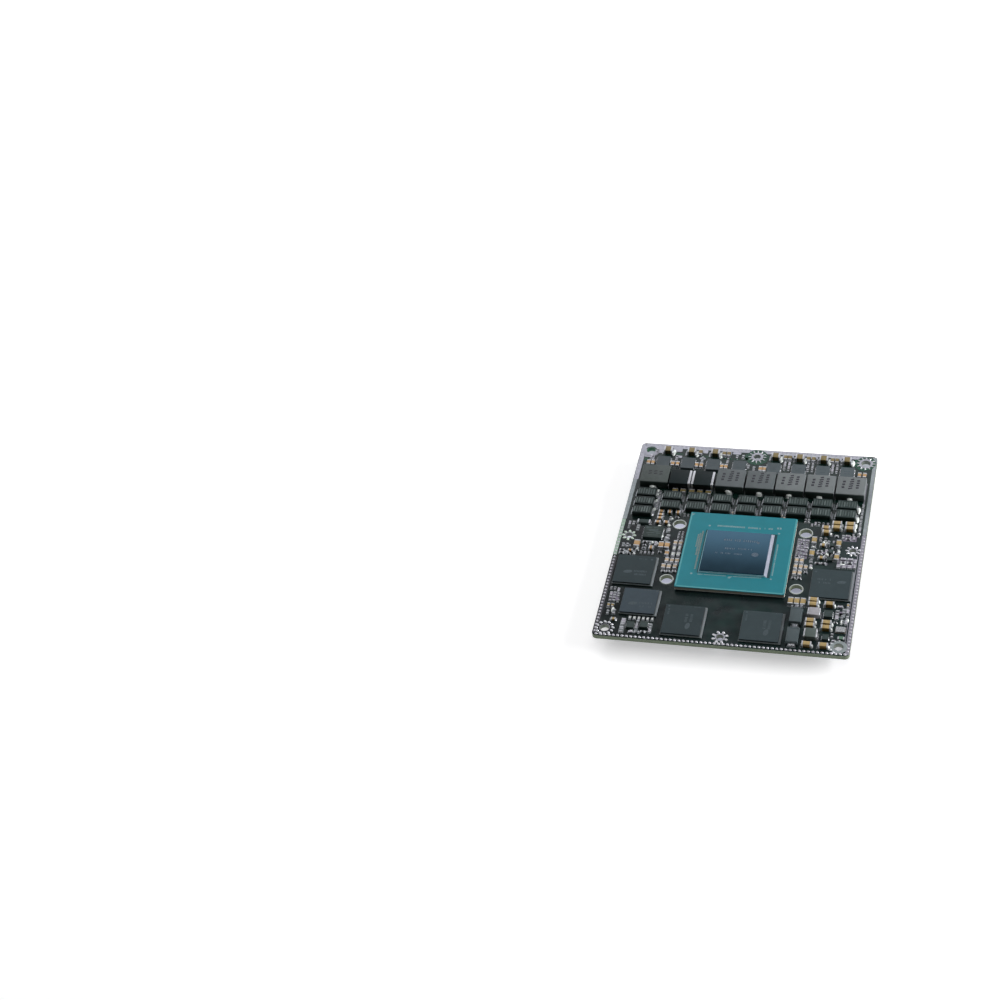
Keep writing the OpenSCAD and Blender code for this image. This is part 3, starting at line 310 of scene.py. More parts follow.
M = {
    "board": board_material(),
    "carrier": carrier_material(),
    "die": material("silicon_die", (0.110, 0.235, 0.325), 0.06, metallic=1.0, vary=0.04, vary_mm=8, rough_vary=0.015),
    # underfill: steep faces painted teal, flatter ones lilac: colour by facing, painted light and reflection
    "underfill": facing_painted_light("underfill_resin", srgb(170, 174, 190), srgb(140, 190, 200), 0.22, lean=(0.7, 0.9), vary=0.08, vary_mm=1, bump=0.2, bump_mm=0.6, coat=0.6, coat_rough=0.12),
    # package moulds: upright faces painted darker than the tops, painted shade
    "memory": facing_painted_light("memory_mould", srgb(34, 50, 54), srgb(30, 38, 40), 0.52, vary=0.07, vary_mm=3, bump=0.35, bump_mm=0.12, grain=0.08, spec=0.2),
    "memory_b": facing_painted_light("memory_mould_b", srgb(44, 59, 63), srgb(30, 38, 40), 0.5, vary=0.06, vary_mm=3, bump=0.35, bump_mm=0.12, grain=0.08, spec=0.2),
    "storage": facing_painted_light("storage_mould", srgb(49, 64, 73), srgb(30, 38, 40), 0.5, vary=0.06, vary_mm=3, bump=0.35, bump_mm=0.12, grain=0.08, spec=0.2),
    # substrate: upright faces painted paler than its top, painted light on the walls
    "substrate": facing_painted_light("package_substrate", srgb(92, 100, 102), srgb(120, 128, 124), 0.4, vary=0.06, vary_mm=0.8, bump=0.1, bump_mm=0.2),
    # pale strips and runs at the packages' right edges: painted highlight of the lit walls, the dim copy for packages
    # that catch less of it
    "edge_glint": material("edge_highlight_paint", srgb(120, 127, 131), 0.35, vary=0.1, vary_mm=0.8, bump=0.2, bump_mm=0.3),
    "edge_glint_dim": material("edge_highlight_dim_paint", srgb(80, 88, 92), 0.35, vary=0.1, vary_mm=0.8, bump=0.2, bump_mm=0.3),
    # power stage mould scaled darker towards the left: painted shade
    "chip": shade_along_x(material("chip_mould", srgb(76, 86, 90), 0.5, vary=0.08, vary_mm=2, bump=0.3, bump_mm=0.12, grain=0.08, spec=0.2), 0.74, 1.05),
    "chip_power": material("controller_mould", srgb(40, 54, 51), 0.42, vary=0.1, vary_mm=1.5, bump=0.3, bump_mm=0.12, grain=0.06, spec=0.2),
    "chip_dark": material("chip_mould_dark", srgb(50, 63, 61), 0.42, vary=0.1, vary_mm=1.5, bump=0.3, bump_mm=0.12, grain=0.06, spec=0.2),
    # inductor cores: upright faces painted dark, painted shade, faces turned right painted apart as painted light; the
    # middle and light cores are copies of one core, painted lighter for the ones to the right
    "inductor_mid": facing_painted_light("inductor_core_middle", srgb(91, 98, 100), srgb(40, 52, 48), 0.5, right=srgb(98, 104, 106), vary=0.07, vary_mm=2, bump=0.3, bump_mm=0.15, grain=0.06, spec=0.2),
    "inductor_light": facing_painted_light("inductor_core_light", srgb(109, 115, 116), srgb(44, 56, 52), 0.5, right=srgb(112, 116, 120), vary=0.07, vary_mm=2, bump=0.3, bump_mm=0.15, grain=0.06, spec=0.2),
    "inductor_old": facing_painted_light("inductor_core_warm", srgb(74, 82, 80), srgb(30, 40, 36), 0.55, right=srgb(50, 58, 56), vary=0.1, vary_mm=1.4, bump=0.6, bump_mm=0.1, grain=0.12, spec=0.2),
    # small inductor ferrite: upright faces painted darker, painted shade
    "ferrite": facing_painted_light("black_ferrite", srgb(12, 28, 29), srgb(8, 17, 16), 0.45, vary=0.12, vary_mm=1.5, bump=0.25, bump_mm=0.12, grain=0.06, spec=0.15),
    "filter_light": material("filter_core_light", srgb(156, 155, 160), 0.45, vary=0.06, vary_mm=1, bump=0.2, bump_mm=0.12, grain=0.05, spec=0.25),
    "filter_grey": material("filter_core_grey", srgb(77, 88, 84), 0.5, vary=0.08, vary_mm=1, bump=0.3, bump_mm=0.12, grain=0.08, spec=0.25),
    # polymer mould: upright faces painted darker and faces turned right paler, painted shade and light, and scaled
    # darker towards the left, painted shade
    "polymer": shade_along_x(facing_painted_light("polymer_mould", srgb(34, 47, 46), srgb(14, 28, 24), 0.5, right=srgb(46, 56, 54), vary=0.1, vary_mm=1.6, bump=0.4, bump_mm=0.1, grain=0.1, spec=0.2), 0.66, 1.2),
    "polymer_side": material("polymer_mould_side", srgb(72, 83, 86), 0.48, vary=0.06, vary_mm=1.6, bump=0.3, bump_mm=0.1, grain=0.08, spec=0.2),
    "tan": ceramic("capacitor_ceramic", srgb(158, 136, 88), srgb(98, 80, 34)),
    "orange": ceramic("capacitor_ceramic_warm", srgb(172, 138, 94), srgb(106, 78, 38)),
    "cream": ceramic("capacitor_ceramic_pale", srgb(186, 166, 138), srgb(110, 92, 68)),
    # near-white bodies: painted highlight, standing for bright glints on small parts
    "glint_white": ceramic("capacitor_painted_glint", srgb(206, 210, 206), srgb(150, 160, 150)),
    "brown": ceramic("bulk_capacitor_ceramic", srgb(118, 104, 64), srgb(52, 50, 26)),
    "resistor": material("resistor_glaze", srgb(38, 42, 46), 0.25, vary=0.15, vary_mm=0.6, bump=0.1, bump_mm=0.15, coat=0.3),
    "resistor_mid": material("resistor_glaze_grey", srgb(92, 98, 102), 0.35, vary=0.15, vary_mm=0.6, bump=0.1, bump_mm=0.15, coat=0.2),
    "resistor_pale": material("resistor_glaze_pale", srgb(156, 152, 164), 0.4, vary=0.15, vary_mm=0.6, bump=0.1, bump_mm=0.15),
    "tin": material("tin_plating", srgb(190, 193, 196), 0.36, metallic=0.85, vary=0.08, vary_mm=0.5, rough_vary=0.1, bump=0.35, bump_mm=0.2),
    "solder": material("solder_fillets", srgb(206, 208, 212), 0.28, metallic=0.9, vary=0.08, vary_mm=0.4, rough_vary=0.1, bump=0.3, bump_mm=0.25),
    # near-white, barely metallic solder: painted highlight where beads catch the light
    "solder_glint": material("solder_painted_highlight", srgb(236, 242, 238), 0.36, metallic=0.1, vary=0.06, vary_mm=0.4, rough_vary=0.1, bump=0.3, bump_mm=0.25),
    "via": material("filled_vias", srgb(196, 196, 202), 0.32, metallic=0.85, vary=0.1, vary_mm=0.6, bump=0.2, bump_mm=0.2),
    "via_dim": material("filled_vias_dull", srgb(146, 148, 154), 0.42, metallic=0.8, vary=0.12, vary_mm=0.6, bump=0.2, bump_mm=0.2),
    "pad": material("tinned_pads", srgb(134, 140, 143), 0.5, metallic=0.7, vary=0.12, vary_mm=0.7, rough_vary=0.1, bump=0.5, bump_mm=0.25),
    "pad_lilac": material("tinned_pads_dull", srgb(132, 126, 142), 0.5, metallic=0.6, vary=0.2, vary_mm=0.7, rough_vary=0.1, bump=0.5, bump_mm=0.25),
    "rim": material("tinned_rim", srgb(164, 166, 174), 0.42, metallic=0.8, vary=0.12, vary_mm=1.2, rough_vary=0.1, bump=0.5, bump_mm=0.3),
    "rim_side": material("tinned_rim_side", srgb(146, 155, 156), 0.46, metallic=0.75, vary=0.14, vary_mm=1.2, rough_vary=0.1, bump=0.5, bump_mm=0.3),
    "rim_dark": material("tinned_rim_dark", srgb(62, 62, 68), 0.5, metallic=0.4, vary=0.15, vary_mm=1.0, rough_vary=0.1, bump=0.5, bump_mm=0.3),
    "rim_green": material("tinned_rim_green", srgb(150, 174, 156), 0.46, metallic=0.6, vary=0.16, vary_mm=1.0, rough_vary=0.1, bump=0.5, bump_mm=0.3),
    "pad_green": material("plated_pad_green", srgb(204, 220, 206), 0.4, metallic=0.45, vary=0.1, vary_mm=0.5, rough_vary=0.1, bump=0.3, bump_mm=0.25),
    "rim_dim": material("tinned_rim_dim", srgb(137, 136, 145), 0.5, metallic=0.7, vary=0.15, vary_mm=1.0, rough_vary=0.1, bump=0.5, bump_mm=0.3),
    "barrel": material("plated_barrel", srgb(138, 146, 116), 0.4, metallic=0.6, vary=0.15, vary_mm=0.6, bump=0.3, bump_mm=0.2),
    "barrel_green": material("hole_wall_green", srgb(58, 112, 78), 0.5, vary=0.15, vary_mm=0.6, bump=0.3, bump_mm=0.2),
    "barrel_grey": material("hole_wall_grey", srgb(120, 128, 118), 0.5, metallic=0.3, vary=0.15, vary_mm=0.6, bump=0.3, bump_mm=0.2),
    "ring": material("plated_ring", srgb(190, 197, 190), 0.3, metallic=0.85, vary=0.08, vary_mm=0.8, bump=0.2, bump_mm=0.3),
    "mask_green": material("mask_gap_and_painted_reflection", (0.012, 0.062, 0.036), 0.3, vary=0.2, vary_mm=1.5, bump=0.1, bump_mm=0.4, spec=0.3),
    "mark": material("printed_marks", srgb(64, 76, 81), 0.6, vary=0.2, vary_mm=0.4, spec=0.2),
    "mark_die": material("die_marks", srgb(89, 106, 120), 0.3, metallic=0.6, vary=0.25, vary_mm=0.4),
    "mark_ink": material("inductor_ink", srgb(48, 48, 55), 0.6, vary=0.15, vary_mm=0.4, spec=0.2),
    "mark_pale": material("pale_ticks", srgb(70, 82, 80), 0.6, vary=0.25, vary_mm=0.4, spec=0.2),
    "mark_paler": material("paler_ticks", srgb(88, 100, 98), 0.6, vary=0.25, vary_mm=0.4, spec=0.2),
    "carrier_mark": material("carrier_test_pads", srgb(110, 147, 152), 0.5, vary=0.15, vary_mm=0.5, spec=0.3),
    "carrier_mark_grey": material("carrier_test_pads_grey", srgb(116, 134, 132), 0.5, vary=0.15, vary_mm=0.5, spec=0.3),
    "carrier_dark": material("carrier_shadow_line", srgb(8, 62, 70), 0.5, vary=0.1, vary_mm=1, spec=0.2),
    "carrier_edge": material("carrier_edge_painted_highlight", srgb(70, 152, 158), 0.42, vary=0.08, vary_mm=1, spec=0.3),
    "lid": material("crystal_lid", srgb(186, 190, 192), 0.3, metallic=0.85, vary=0.06, vary_mm=0.5, bump=0.2, bump_mm=0.15),
    "crystal_base": material("crystal_base", srgb(104, 98, 88), 0.5, vary=0.1, vary_mm=0.4, bump=0.2, bump_mm=0.15),
    "lamp": material("lamp_lens", srgb(96, 126, 108), 0.2, vary=0.05, vary_mm=0.4, coat=0.5),
    "plastic": material("connector_plastic", srgb(30, 30, 32), 0.45, vary=0.15, vary_mm=1.5, bump=0.4, bump_mm=0.15, grain=0.08),
    "gold": material("contact_gold", (0.8, 0.55, 0.2), 0.25, metallic=1.0, vary=0.08, vary_mm=0.5, bump=0.1, bump_mm=0.2),
}


# ---------------------------------------------------------------- mesh building, in mm

class Build:
    """Collects closed shapes in mm, then makes one object from them."""

    def __init__(self):
        self.v, self.f, self.mi = [], [], []

    def add(self, verts, faces, mi=0):
        o = len(self.v)
        self.v += verts
        self.f += [tuple(o + i for i in f) for f in faces]
        self.mi += [mi] * len(faces)

    def loft(self, rings, mi=0, cap=True):
        """Rings of equal vertex count, joined one after another and closed at both ends."""
        n = len(rings[0])
        verts = [p for r in rings for p in r]
        faces = []
        for k in range(len(rings) - 1):
            for i in range(n):
                j = (i + 1) % n
                faces.append((k * n + i, k * n + j, (k + 1) * n + j, (k + 1) * n + i))
        if cap:
            faces.append(tuple(reversed(range(n))))
            faces.append(tuple((len(rings) - 1) * n + i for i in range(n)))
        self.add(verts, faces, mi)

    def block(self, lo, hi, r=0.06, cr=None, mi=0, bottom_r=0.0, draft=0.0, seg=2):
        """Block with rounded upper edges and upright corners. draft leans the sides in towards the top and foot."""
        w, d, h = (hi[i] - lo[i] for i in range(3))
        cx, cy = (lo[0] + hi[0]) / 2, (lo[1] + hi[1]) / 2
        r = min(r, 0.45 * min(w, d), 0.9 * h)
        cr = r if cr is None else cr
        cr = min(max(cr, 0.01), 0.45 * min(w, d))
        levels = []
        if bottom_r > 0:
            levels += [(bottom_r, lo[2]), (0.3 * bottom_r, lo[2] + 0.3 * bottom_r)]
        levels.append((draft if not bottom_r else 0.0, lo[2] + bottom_r))
        if draft:
            levels.append((0.0, lo[2] + 0.5 * h))
        for k in range(seg + 1):
            a = math.pi / 2 * k / seg
            levels.append((draft + r * (1 - math.cos(a)), hi[2] - r + r * math.sin(a)))
        rings = []
        for inset, z in levels:
            hw, hd = w / 2 - inset, d / 2 - inset
            c = max(0.004, min(cr, hw * 0.9, hd * 0.9))
            ring = []
            for qx, qy, a0 in ((1, 1, 0), (-1, 1, 90), (-1, -1, 180), (1, -1, 270)):
                for k in range(seg + 1):
                    a = math.radians(a0 + 90 * k / seg)
                    ring.append((cx + qx * (hw - c) + c * math.cos(a), cy + qy * (hd - c) + c * math.sin(a), z))
            rings.append(ring)
        self.loft(rings, mi)

    def plate(self, cx, cy, w, d, z, h, turn=0.0, mi=0, cr=0.0):
        """Thin flat patch, turned about its middle."""
        c, s = math.cos(turn), math.sin(turn)
        rings = []
        for zz in (z, z + h):
            ring = []
            if cr > 0:
                for qx, qy, a0 in ((1, 1, 0), (-1, 1, 90), (-1, -1, 180), (1, -1, 270)):
                    for k in range(3):
                        a = math.radians(a0 + 45 * k)
                        ring.append((qx * (w / 2 - cr) + cr * math.cos(a), qy * (d / 2 - cr) + cr * math.sin(a)))
            else:
                ring = [(w / 2, d / 2), (-w / 2, d / 2), (-w / 2, -d / 2), (w / 2, -d / 2)]
            rings.append([(cx + x * c - y * s, cy + x * s + y * c, zz) for x, y in ring])
        self.loft(rings, mi)

    def dome(self, cx, cy, z, rx, ry, h, turn=0.0, mi=0, n=14, side=1):
        """Flattened bead of solder standing on height z."""
        c, s = math.cos(turn), math.sin(turn)
        rings = []
        for k in (0, 0.35, 0.62, 0.84, 0.97):
            a = k * math.pi / 2
            q, zz = math.cos(a), z + side * h * math.sin(a)
            ring = []
            for i in range(n):
                t = 2 * math.pi * i / n
                x, y = rx * q * math.cos(t), ry * q * math.sin(t)
                ring.append((cx + x * c - y * s, cy + x * s + y * c, zz))
            rings.append(ring)
        self.loft(rings, mi)

    def tube(self, cx, cy, profile, n=40, mi=0, a0=0.0, a1=360.0):
        """Closed profile of (radius, height) points swept round a vertical axis."""
        full = a1 - a0 >= 360
        steps = n if full else n + 1
        m = len(profile)
        verts = []
        for i in range(steps):
            t = math.radians(a0 + (a1 - a0) * i / n)
            for r, z in profile:
                verts.append((cx + r * math.cos(t), cy + r * math.sin(t), z))
        faces = []
        for i in range(n):
            j = (i + 1) % steps
            for k in range(m):
                l = (k + 1) % m
                faces.append((i * m + k, j * m + k, j * m + l, i * m + l))
        if not full:
            faces.append(tuple(range(m)))
            faces.append(tuple(reversed([(steps - 1) * m + k for k in range(m)])))
        self.add(verts, faces, mi)

    def fillet(self, x, y, z, direction, width, height, length, mi=0, side=1):
        """Solder run from an end face at (x, y) down to the board, outwards along direction (radians)."""
        c, s = math.cos(direction), math.sin(direction)
        cols = []
        for u, kl, kh in ((-0.5, 0.35, 0.3), (-0.42, 0.8, 0.8), (-0.2, 1.0, 1.0), (0.2, 1.0, 1.0), (0.42, 0.8, 0.8), (0.5, 0.35, 0.3)):
            prof = [(-0.02, 0.0), (-0.02, kh), (0.12 * kl, 0.72 * kh), (0.36 * kl, 0.36 * kh), (0.7 * kl, 0.14 * kh), (kl, 0.0)]
            cols.append([(x + (q * length) * c - (u * width) * s, y + (q * length) * s + (u * width) * c, z + side * (p * height)) for q, p in prof])
        self.loft(cols, mi)

    def make(self, name, mats, slot=None, angle=38, replaces=()):
        me = bpy.data.meshes.new(name)
        me.from_pydata([(x * MM, y * MM, z * MM) for x, y, z in self.v], [], self.f)
        for p, mi in zip(me.polygons, self.mi):
            p.material_index = mi
        bm = bmesh.new()
        bm.from_mesh(me)
        bmesh.ops.recalc_face_normals(bm, faces=bm.faces)
        bm.to_mesh(me)
        bm.free()
        me.polygons.foreach_set("use_smooth", [True] * len(me.polygons))
        me.set_sharp_from_angle(angle=math.radians(angle))
        ob = bpy.data.objects.new(name, me)
        for m in mats if isinstance(mats, (list, tuple)) else [mats]:
            me.materials.append(m)
        bpy.context.scene.collection.objects.link(ob)
        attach(ob, "root")
        if replaces:
            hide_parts(*replaces)
        return ob


def islands(node):
    """Boxes of a node's separate solids, in mm: (lowest corner, highest corner)."""
    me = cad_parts[node].data
    ids, lookup = [], {}
    for v in me.vertices:
        k = (round(v.co.x * 2e5), round(v.co.y * 2e5), round(v.co.z * 2e5))
        ids.append(lookup.setdefault(k, len(lookup)))
    parent = list(range(len(lookup)))

    def root(i):
        while parent[i] != i:
            parent[i] = parent[parent[i]]
            i = parent[i]
        return i

    for p in me.polygons:
        vs = [root(ids[i]) for i in p.vertices]
        for i in vs[1:]:
            parent[root(i)] = root(vs[0])
    boxes = {}
    for v, i in zip(me.vertices, ids):
        r = root(i)
        c = [x / MM for x in v.co]
        if r in boxes:
            lo, hi = boxes[r]
            for a in range(3):
                lo[a] = min(lo[a], c[a])
                hi[a] = max(hi[a], c[a])
        else:
            boxes[r] = (list(c), list(c))
    return sorted(boxes.values(), key=lambda b: (round(b[0][1], 2), round(b[0][0], 2)))


def mid(b):
    return [(b[0][i] + b[1][i]) / 2 for i in range(3)]


def paint(node, mat):
    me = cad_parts[node].data
    me.materials.clear()
    me.materials.append(mat)


# ---------------------------------------------------------------- board

paint("circuit_board", M["board"])
HX, HY = 87 / 2, 100 / 2
CORNERS = [(sx * 39.6, sy * 46.1) for sx in (-1, 1) for sy in (-1, 1)]
COOLER = [(sx * 22.5, -6.7 + sy * 14) for sx in (-1, 1) for sy in (-1, 1)]
MIDS = {"left": (-39.6, 0.0), "right": (39.6, 0.0), "front": (0.0, -46.1), "back": (0.0, 46.1)}

# tinned strips along the rim, left, right and back, above and below
rim = Build()
T = 0.02
for z in (TOP, BOTTOM - T):
    rim.plate(-42.5, 39.6, 1.7, 20.0, z, T, cr=0.4)
    rim.plate(-42.7, 19.0, 1.4, 21.4, z, T, cr=0.3, mi=1)
    rim.plate(-42.8, -1.1, 1.2, 18.6, z, T, cr=0.2, mi=4)
    rim.plate(-42.6, -30.0, 1.4, 37.6, z, T, cr=0.3, mi=3)
    rim.plate(42.78, 29.0, 1.3, 41.2, z, T, cr=0.3, mi=1)
    rim.plate(42.74, -20.5, 1.38, 57.6, z, T, cr=0.3, mi=2)
    rim.plate(41.0, 21.8, 0.55, 27.0, z, T, cr=0.15, mi=2)
    rim.plate(41.5, -22.5, 0.25, 44.0, z, T, cr=0.1, mi=2)
    rim.plate(-1.0, 48.95, 82.0, 1.8, z, T, cr=0.4)
for x, y, w, d in ((-36.2, 46.6, 2.9, 3.0), (-39.8, 42.9, 3.6, 0.9), (-29.7, 47.2, 3.4, 1.8), (-28.8, 43.6, 2.4, 1.2),
                   (-20.2, 47.2, 3.6, 1.8), (-19.9, 43.4, 2.2, 1.0), (-11.4, 47.0, 3.8, 1.9), (-7.6, 47.4, 3.0, 1.2), (-38.6, 42.4, 1.6, 2.6),
                   (11.3, 47.4, 4.0, 1.4), (20.0, 47.4, 4.0, 1.4), (28.7, 47.4, 4.0, 1.4)):
    rim.plate(x, y, w, d, TOP, T, cr=0.3)
rim.make("rim_plating", [M["rim"], M["rim_side"], M["rim_dim"], M["rim_dark"], M["rim_green"]], "tin_plating")

# dull tinned lands under the crowded fields, and wider copper around the controller
beds = Build()
for x, y, w, d, k in ((22.1, -0.6, 4.2, 9.8, 1), (38.1, -6.2, 6.6, 4.6, 1), (37.9, 6.0, 4.8, 2.6, 1), (28.9, -1.9, 3.6, 0.9, 1), (29.3, -7.3, 4.6, 1.0, 1),
                      (-32.2, 19.2, 1.1, 10.4, 0), (-31.6, -2.4, 5.0, 0.8, 0), (-37.0, 5.0, 1.2, 4.6, 0), (-25.9, -0.6, 1.6, 2.6, 0), (-26.0, 3.8, 1.4, 2.4, 0),
                      (-39.6, -8.6, 3.6, 1.8, 0), (-39.4, -5.2, 2.8, 1.0, 0), (-33.0, -6.2, 1.4, 1.6, 0), (-39.0, -31.0, 3.6, 3.8, 1),
                      (-33.7, -44.8, 1.8, 6.2, 0), (-28.8, -45.6, 1.2, 4.0, 0), (-24.0, -45.0, 1.1, 4.4, 0), (38.9, -31.4, 2.8, 2.0, 0), (40.4, -34.6, 2.4, 1.6, 0),
                      (38.2, -30.9, 2.4, 2.4, 1), (40.5, -29.2, 1.6, 2.2, 0), (41.0, -33.8, 1.3, 2.2, 0),
                      (-10.4, 40.9, 0.9, 4.0, 0), (-19.8, 40.9, 0.9, 4.0, 0), (-29.3, 41.2, 0.9, 4.2, 0), (25.8, -6.4, 1.2, 1.8, 0), (26.1, -9.6, 1.2, 1.8, 0)):
    beds.plate(x, y, w, d, TOP, 0.025, cr=0.25, mi=k)
for x in (10.6, 12.2, 19.1, 20.7, 28.0, 29.6):
    beds.plate(x, 42.1, 0.62, 5.0, TOP, 0.04, cr=0.1, mi=2)
beds.make("tinned_lands", [M["pad"], M["pad_lilac"], M["solder"]], "tin_plating")

# one row of filled vias all round
dots = Build()
def via(x, y, r=0.4, h=0.1, n=12, mi=0):
    dots.dome(x, y, TOP + 0.01, r, r, h, n=n, mi=mi)
    dots.dome(x, y, BOTTOM - 0.01, r, r, h, n=n, side=-1, mi=mi)
nx, ny = 57, 65
for i in range(nx):
    x = -42 + 84 * i / (nx - 1)
    via(x, -49.2, 0.53, 0.2)
    via(x, 49.2, 0.3, 0.04, mi=1)
for i in range(1, ny):
    y = -49.25 + 98.45 * i / ny
    via(-42.75, y, 0.44 if y < 4 else 0.28, 0.12 if y < 4 else 0.04, mi=0 if y < 4 else 1)
    via(42.85, y, 0.38, 0.12 if y < 8 else 0.03, mi=0 if y < 8 else 1)
dots.make("rim_vias", [M["via"], M["via_dim"]], "solder")

# pads round the fixing holes
pads = Build()
green = Build()

def ring_pad(x, y, r0, r1, h=0.05, mi=1):
    for z, s in ((TOP, 1), (BOTTOM, -1)):
        pads.tube(x, y, [(r0, z), (r0, z + s * h * 0.7), (r0 + 0.12, z + s * h), (r1 - 0.12, z + s * h), (r1, z + s * h * 0.4), (r1, z)], n=40, mi=mi)

def petals(x, y, count, r, rl, rw, phase=0.0, h=0.16, mi=0, span=(0, 360)):
    for k in range(count):
        a = math.radians(phase) + 2 * math.pi * k / count
        if not span[0] <= math.degrees(a) % 360 <= span[1]:
            continue
        for z, s in ((TOP, 1), (BOTTOM, -1)):
            pads.dome(x + r * math.cos(a), y + r * math.sin(a), z, rl, rw, h, turn=a, side=s, mi=mi)

def gap(x, y, r0, r1, a0, a1, lift=0.03):
    for z, s in ((TOP, 1), (BOTTOM, -1)):
        green.tube(x, y, [(r0, z), (r0, z + s * lift), (r1, z + s * lift), (r1, z)], n=40, a0=a0, a1=a1)

for name, (x, y) in MIDS.items():
    if name == "back":
        gap(x, y, 2.3, 3.86, 0, 360)
        gap(x, y, 3.86, 4.4, 165, 375)
        ring_pad(x, y, 1.3, 2.2, h=0.06)
        petals(x, y, 12, 2.75, 0.7, 0.24, h=0.14)
    elif name == "front":
        ring_pad(x, y, 1.25, 1.75)
        petals(x, y, 8, 2.35, 0.62, 0.5, phase=22.5)
    else:
        ring_pad(x, y, 1.25, 1.62)
        petals(x, y, 8 if name == "left" else 9, 2.05, 0.66, 0.48 if name == "left" else 0.4, phase=0 if name == "left" else 18, h=0.2, mi=3 if name == "left" else 0)
for x, y in CORNERS:
    front, left = y < 0, x < 0
    if front and not left:
        ring_pad(x, y, 1.65, 2.9, mi=4)
        petals(x, y, 12, 2.95, 0.5, 0.42, h=0.14, mi=0, span=(70, 240))
    elif front:
        ring_pad(x, y, 1.65, 1.85, mi=2)
        petals(x, y, 12, 2.8, 0.56, 0.52, phase=8, h=0.2)
    elif not left:
        gap(x, y, 2.3, 3.6, 0, 360)
        gap(x, y, 3.6, 4.2, 150, 270)
        ring_pad(x, y, 1.65, 2.5, h=0.06)
        petals(x, y, 12, 2.8, 0.7, 0.28, h=0.16)
    else:
        ring_pad(x, y, 1.63, 3.3)
        gap(x, y, 1.7, 2.15, 20, 160, lift=0.07)
# dark green patches near the back edge: painted reflection
for x, y, w, d in ((-28.9, 45.0, 3.2, 1.0), (-19.2, 44.6, 2.8, 0.9), (-10.4, 44.0, 2.8, 0.9), (-40.7, 41.2, 1.4, 1.6), (-7.4, 44.2, 1.6, 1.0), (-3.9, 44.6, 1.4, 1.4)):
    green.plate(x, y, w, d, TOP, 0.03, cr=0.25)
pads.make("fixing_pads", [M["solder"], M["rim"], M["rim_dim"], M["pad_green"], M["rim_side"]], "solder")
green.make("mask_gaps_and_reflections", M["mask_green"], "board_solder_mask")

# plated rings and barrels of the cooler holes, and barrels of the fixing holes
rings = Build()
for x, y in COOLER:
    for z, s in ((TOP, 1), (BOTTOM, -1)):
        rings.tube(x, y, [(2.07, z), (2.07, z + s * 0.04), (2.13, z + s * 0.06), (2.4, z + s * 0.06), (2.46, z + s * 0.03), (2.46, z)], n=48)
rings.make("cooler_hole_rings", M["ring"], "tin_plating")
barrels = Build()
for x, y in COOLER:
    barrels.tube(x, y, [(2.1, BOTTOM), (2.06, BOTTOM), (2.06, TOP), (2.1, TOP)], n=48)
for x, y in CORNERS:
    barrels.tube(x, y, [(1.6, BOTTOM), (1.56, BOTTOM), (1.56, TOP), (1.6, TOP)], n=48, mi=1 if y > 0 and x < 0 else 2)
for x, y in MIDS.values():
    barrels.tube(x, y, [(1.2, BOTTOM), (1.16, BOTTOM), (1.16, TOP), (1.2, TOP)], n=48, mi=2)
barrels.make("plated_barrels", [M["barrel"], M["barrel_green"], M["barrel_grey"]], "tin_plating")


# ---------------------------------------------------------------- chip components

def group(prefix, mats, body_slot, pick=None, fillet_len=0.28, r=0.07, upper=True, plural=True):
    """Rounded bodies, rounded metal ends, solder runs and pads for one group of chip components."""
    body_node = prefix + ("_bodies" if plural else "_body")
    term_node = prefix + "_terminals"
    bodies, ends = islands(body_node), islands(term_node)
    bb, tb = Build(), Build()
    z0 = TOP if upper else BOTTOM
    side = 1 if upper else -1
    for b in bodies:
        m = mid(b)
        k = pick(m, b) if pick else 0
        if upper:
            bb.block(b[0], b[1], r=r, cr=0.03, mi=k)
        else:
            bb.block(b[0], b[1], r=0.02, cr=0.03, mi=k, bottom_r=r)
    for e in ends:
        m = mid(e)
        near = min(bodies, key=lambda b: sum(max(0.0, b[0][i] - e[1][i], e[0][i] - b[1][i]) for i in (0, 1)) * 100 + math.hypot(mid(b)[0] - m[0], mid(b)[1] - m[1]))
        bm_ = mid(near)
        dx, dy = m[0] - bm_[0], m[1] - bm_[1]
        along_x = abs(dx) > abs(dy)
        a = (0.0 if dx > 0 else math.pi) if along_x else (math.pi / 2 if dy > 0 else -math.pi / 2)
        wide = (e[1][1] - e[0][1]) if along_x else (e[1][0] - e[0][0])
        h = e[1][2] - e[0][2]
        if upper:
            tb.block(e[0], e[1], r=r, cr=r, mi=0)
        else:
            tb.block(e[0], e[1], r=0.02, cr=r, mi=0, bottom_r=r)
        x = (e[1][0] if dx > 0 else e[0][0]) if along_x else m[0]
        y = m[1] if along_x else (e[1][1] if dy > 0 else e[0][1])
        tb.fillet(x, y, z0, a, wide * 1.06, h * 0.8, fillet_len, mi=1, side=side)
        # pad on the board under the end and its solder
        ex = (e[1][0] - e[0][0]) if along_x else (e[1][1] - e[0][1])
        pw, pl = wide + 0.2, ex + fillet_len + 0.12
        px = m[0] + math.cos(a) * (fillet_len - 0.02) / 2
        py = m[1] + math.sin(a) * (fillet_len - 0.02) / 2
        tb.plate(px, py, pl if along_x else pw, pw if along_x else pl, z0 if upper else z0 - 0.03, 0.03, mi=2)
    bb.make(prefix + "_shapes", mats, body_slot, replaces=[body_node])
    tb.make(prefix + "_ends", [M["tin"], M["solder"], M["pad"]], "tin_plating", replaces=[term_node])


def glaze(m, b):
    """Dark, grey or pale glaze, settled by the place on the board."""
    return (0, 1, 0, 2)[int(abs(m[0] * 7.31 + m[1] * 3.77)) % 4]

def glaze_right(m, b):
    pale = (20 < m[0] < 24.8 and -6 < m[1] < 5) or (m[0] > 35 and -9.5 < m[1] < -4)
    return (2, 0, 2, 1)[int(abs(m[0] * 5.3 + m[1] * 2.9)) % 4] if pale else glaze(m, b)

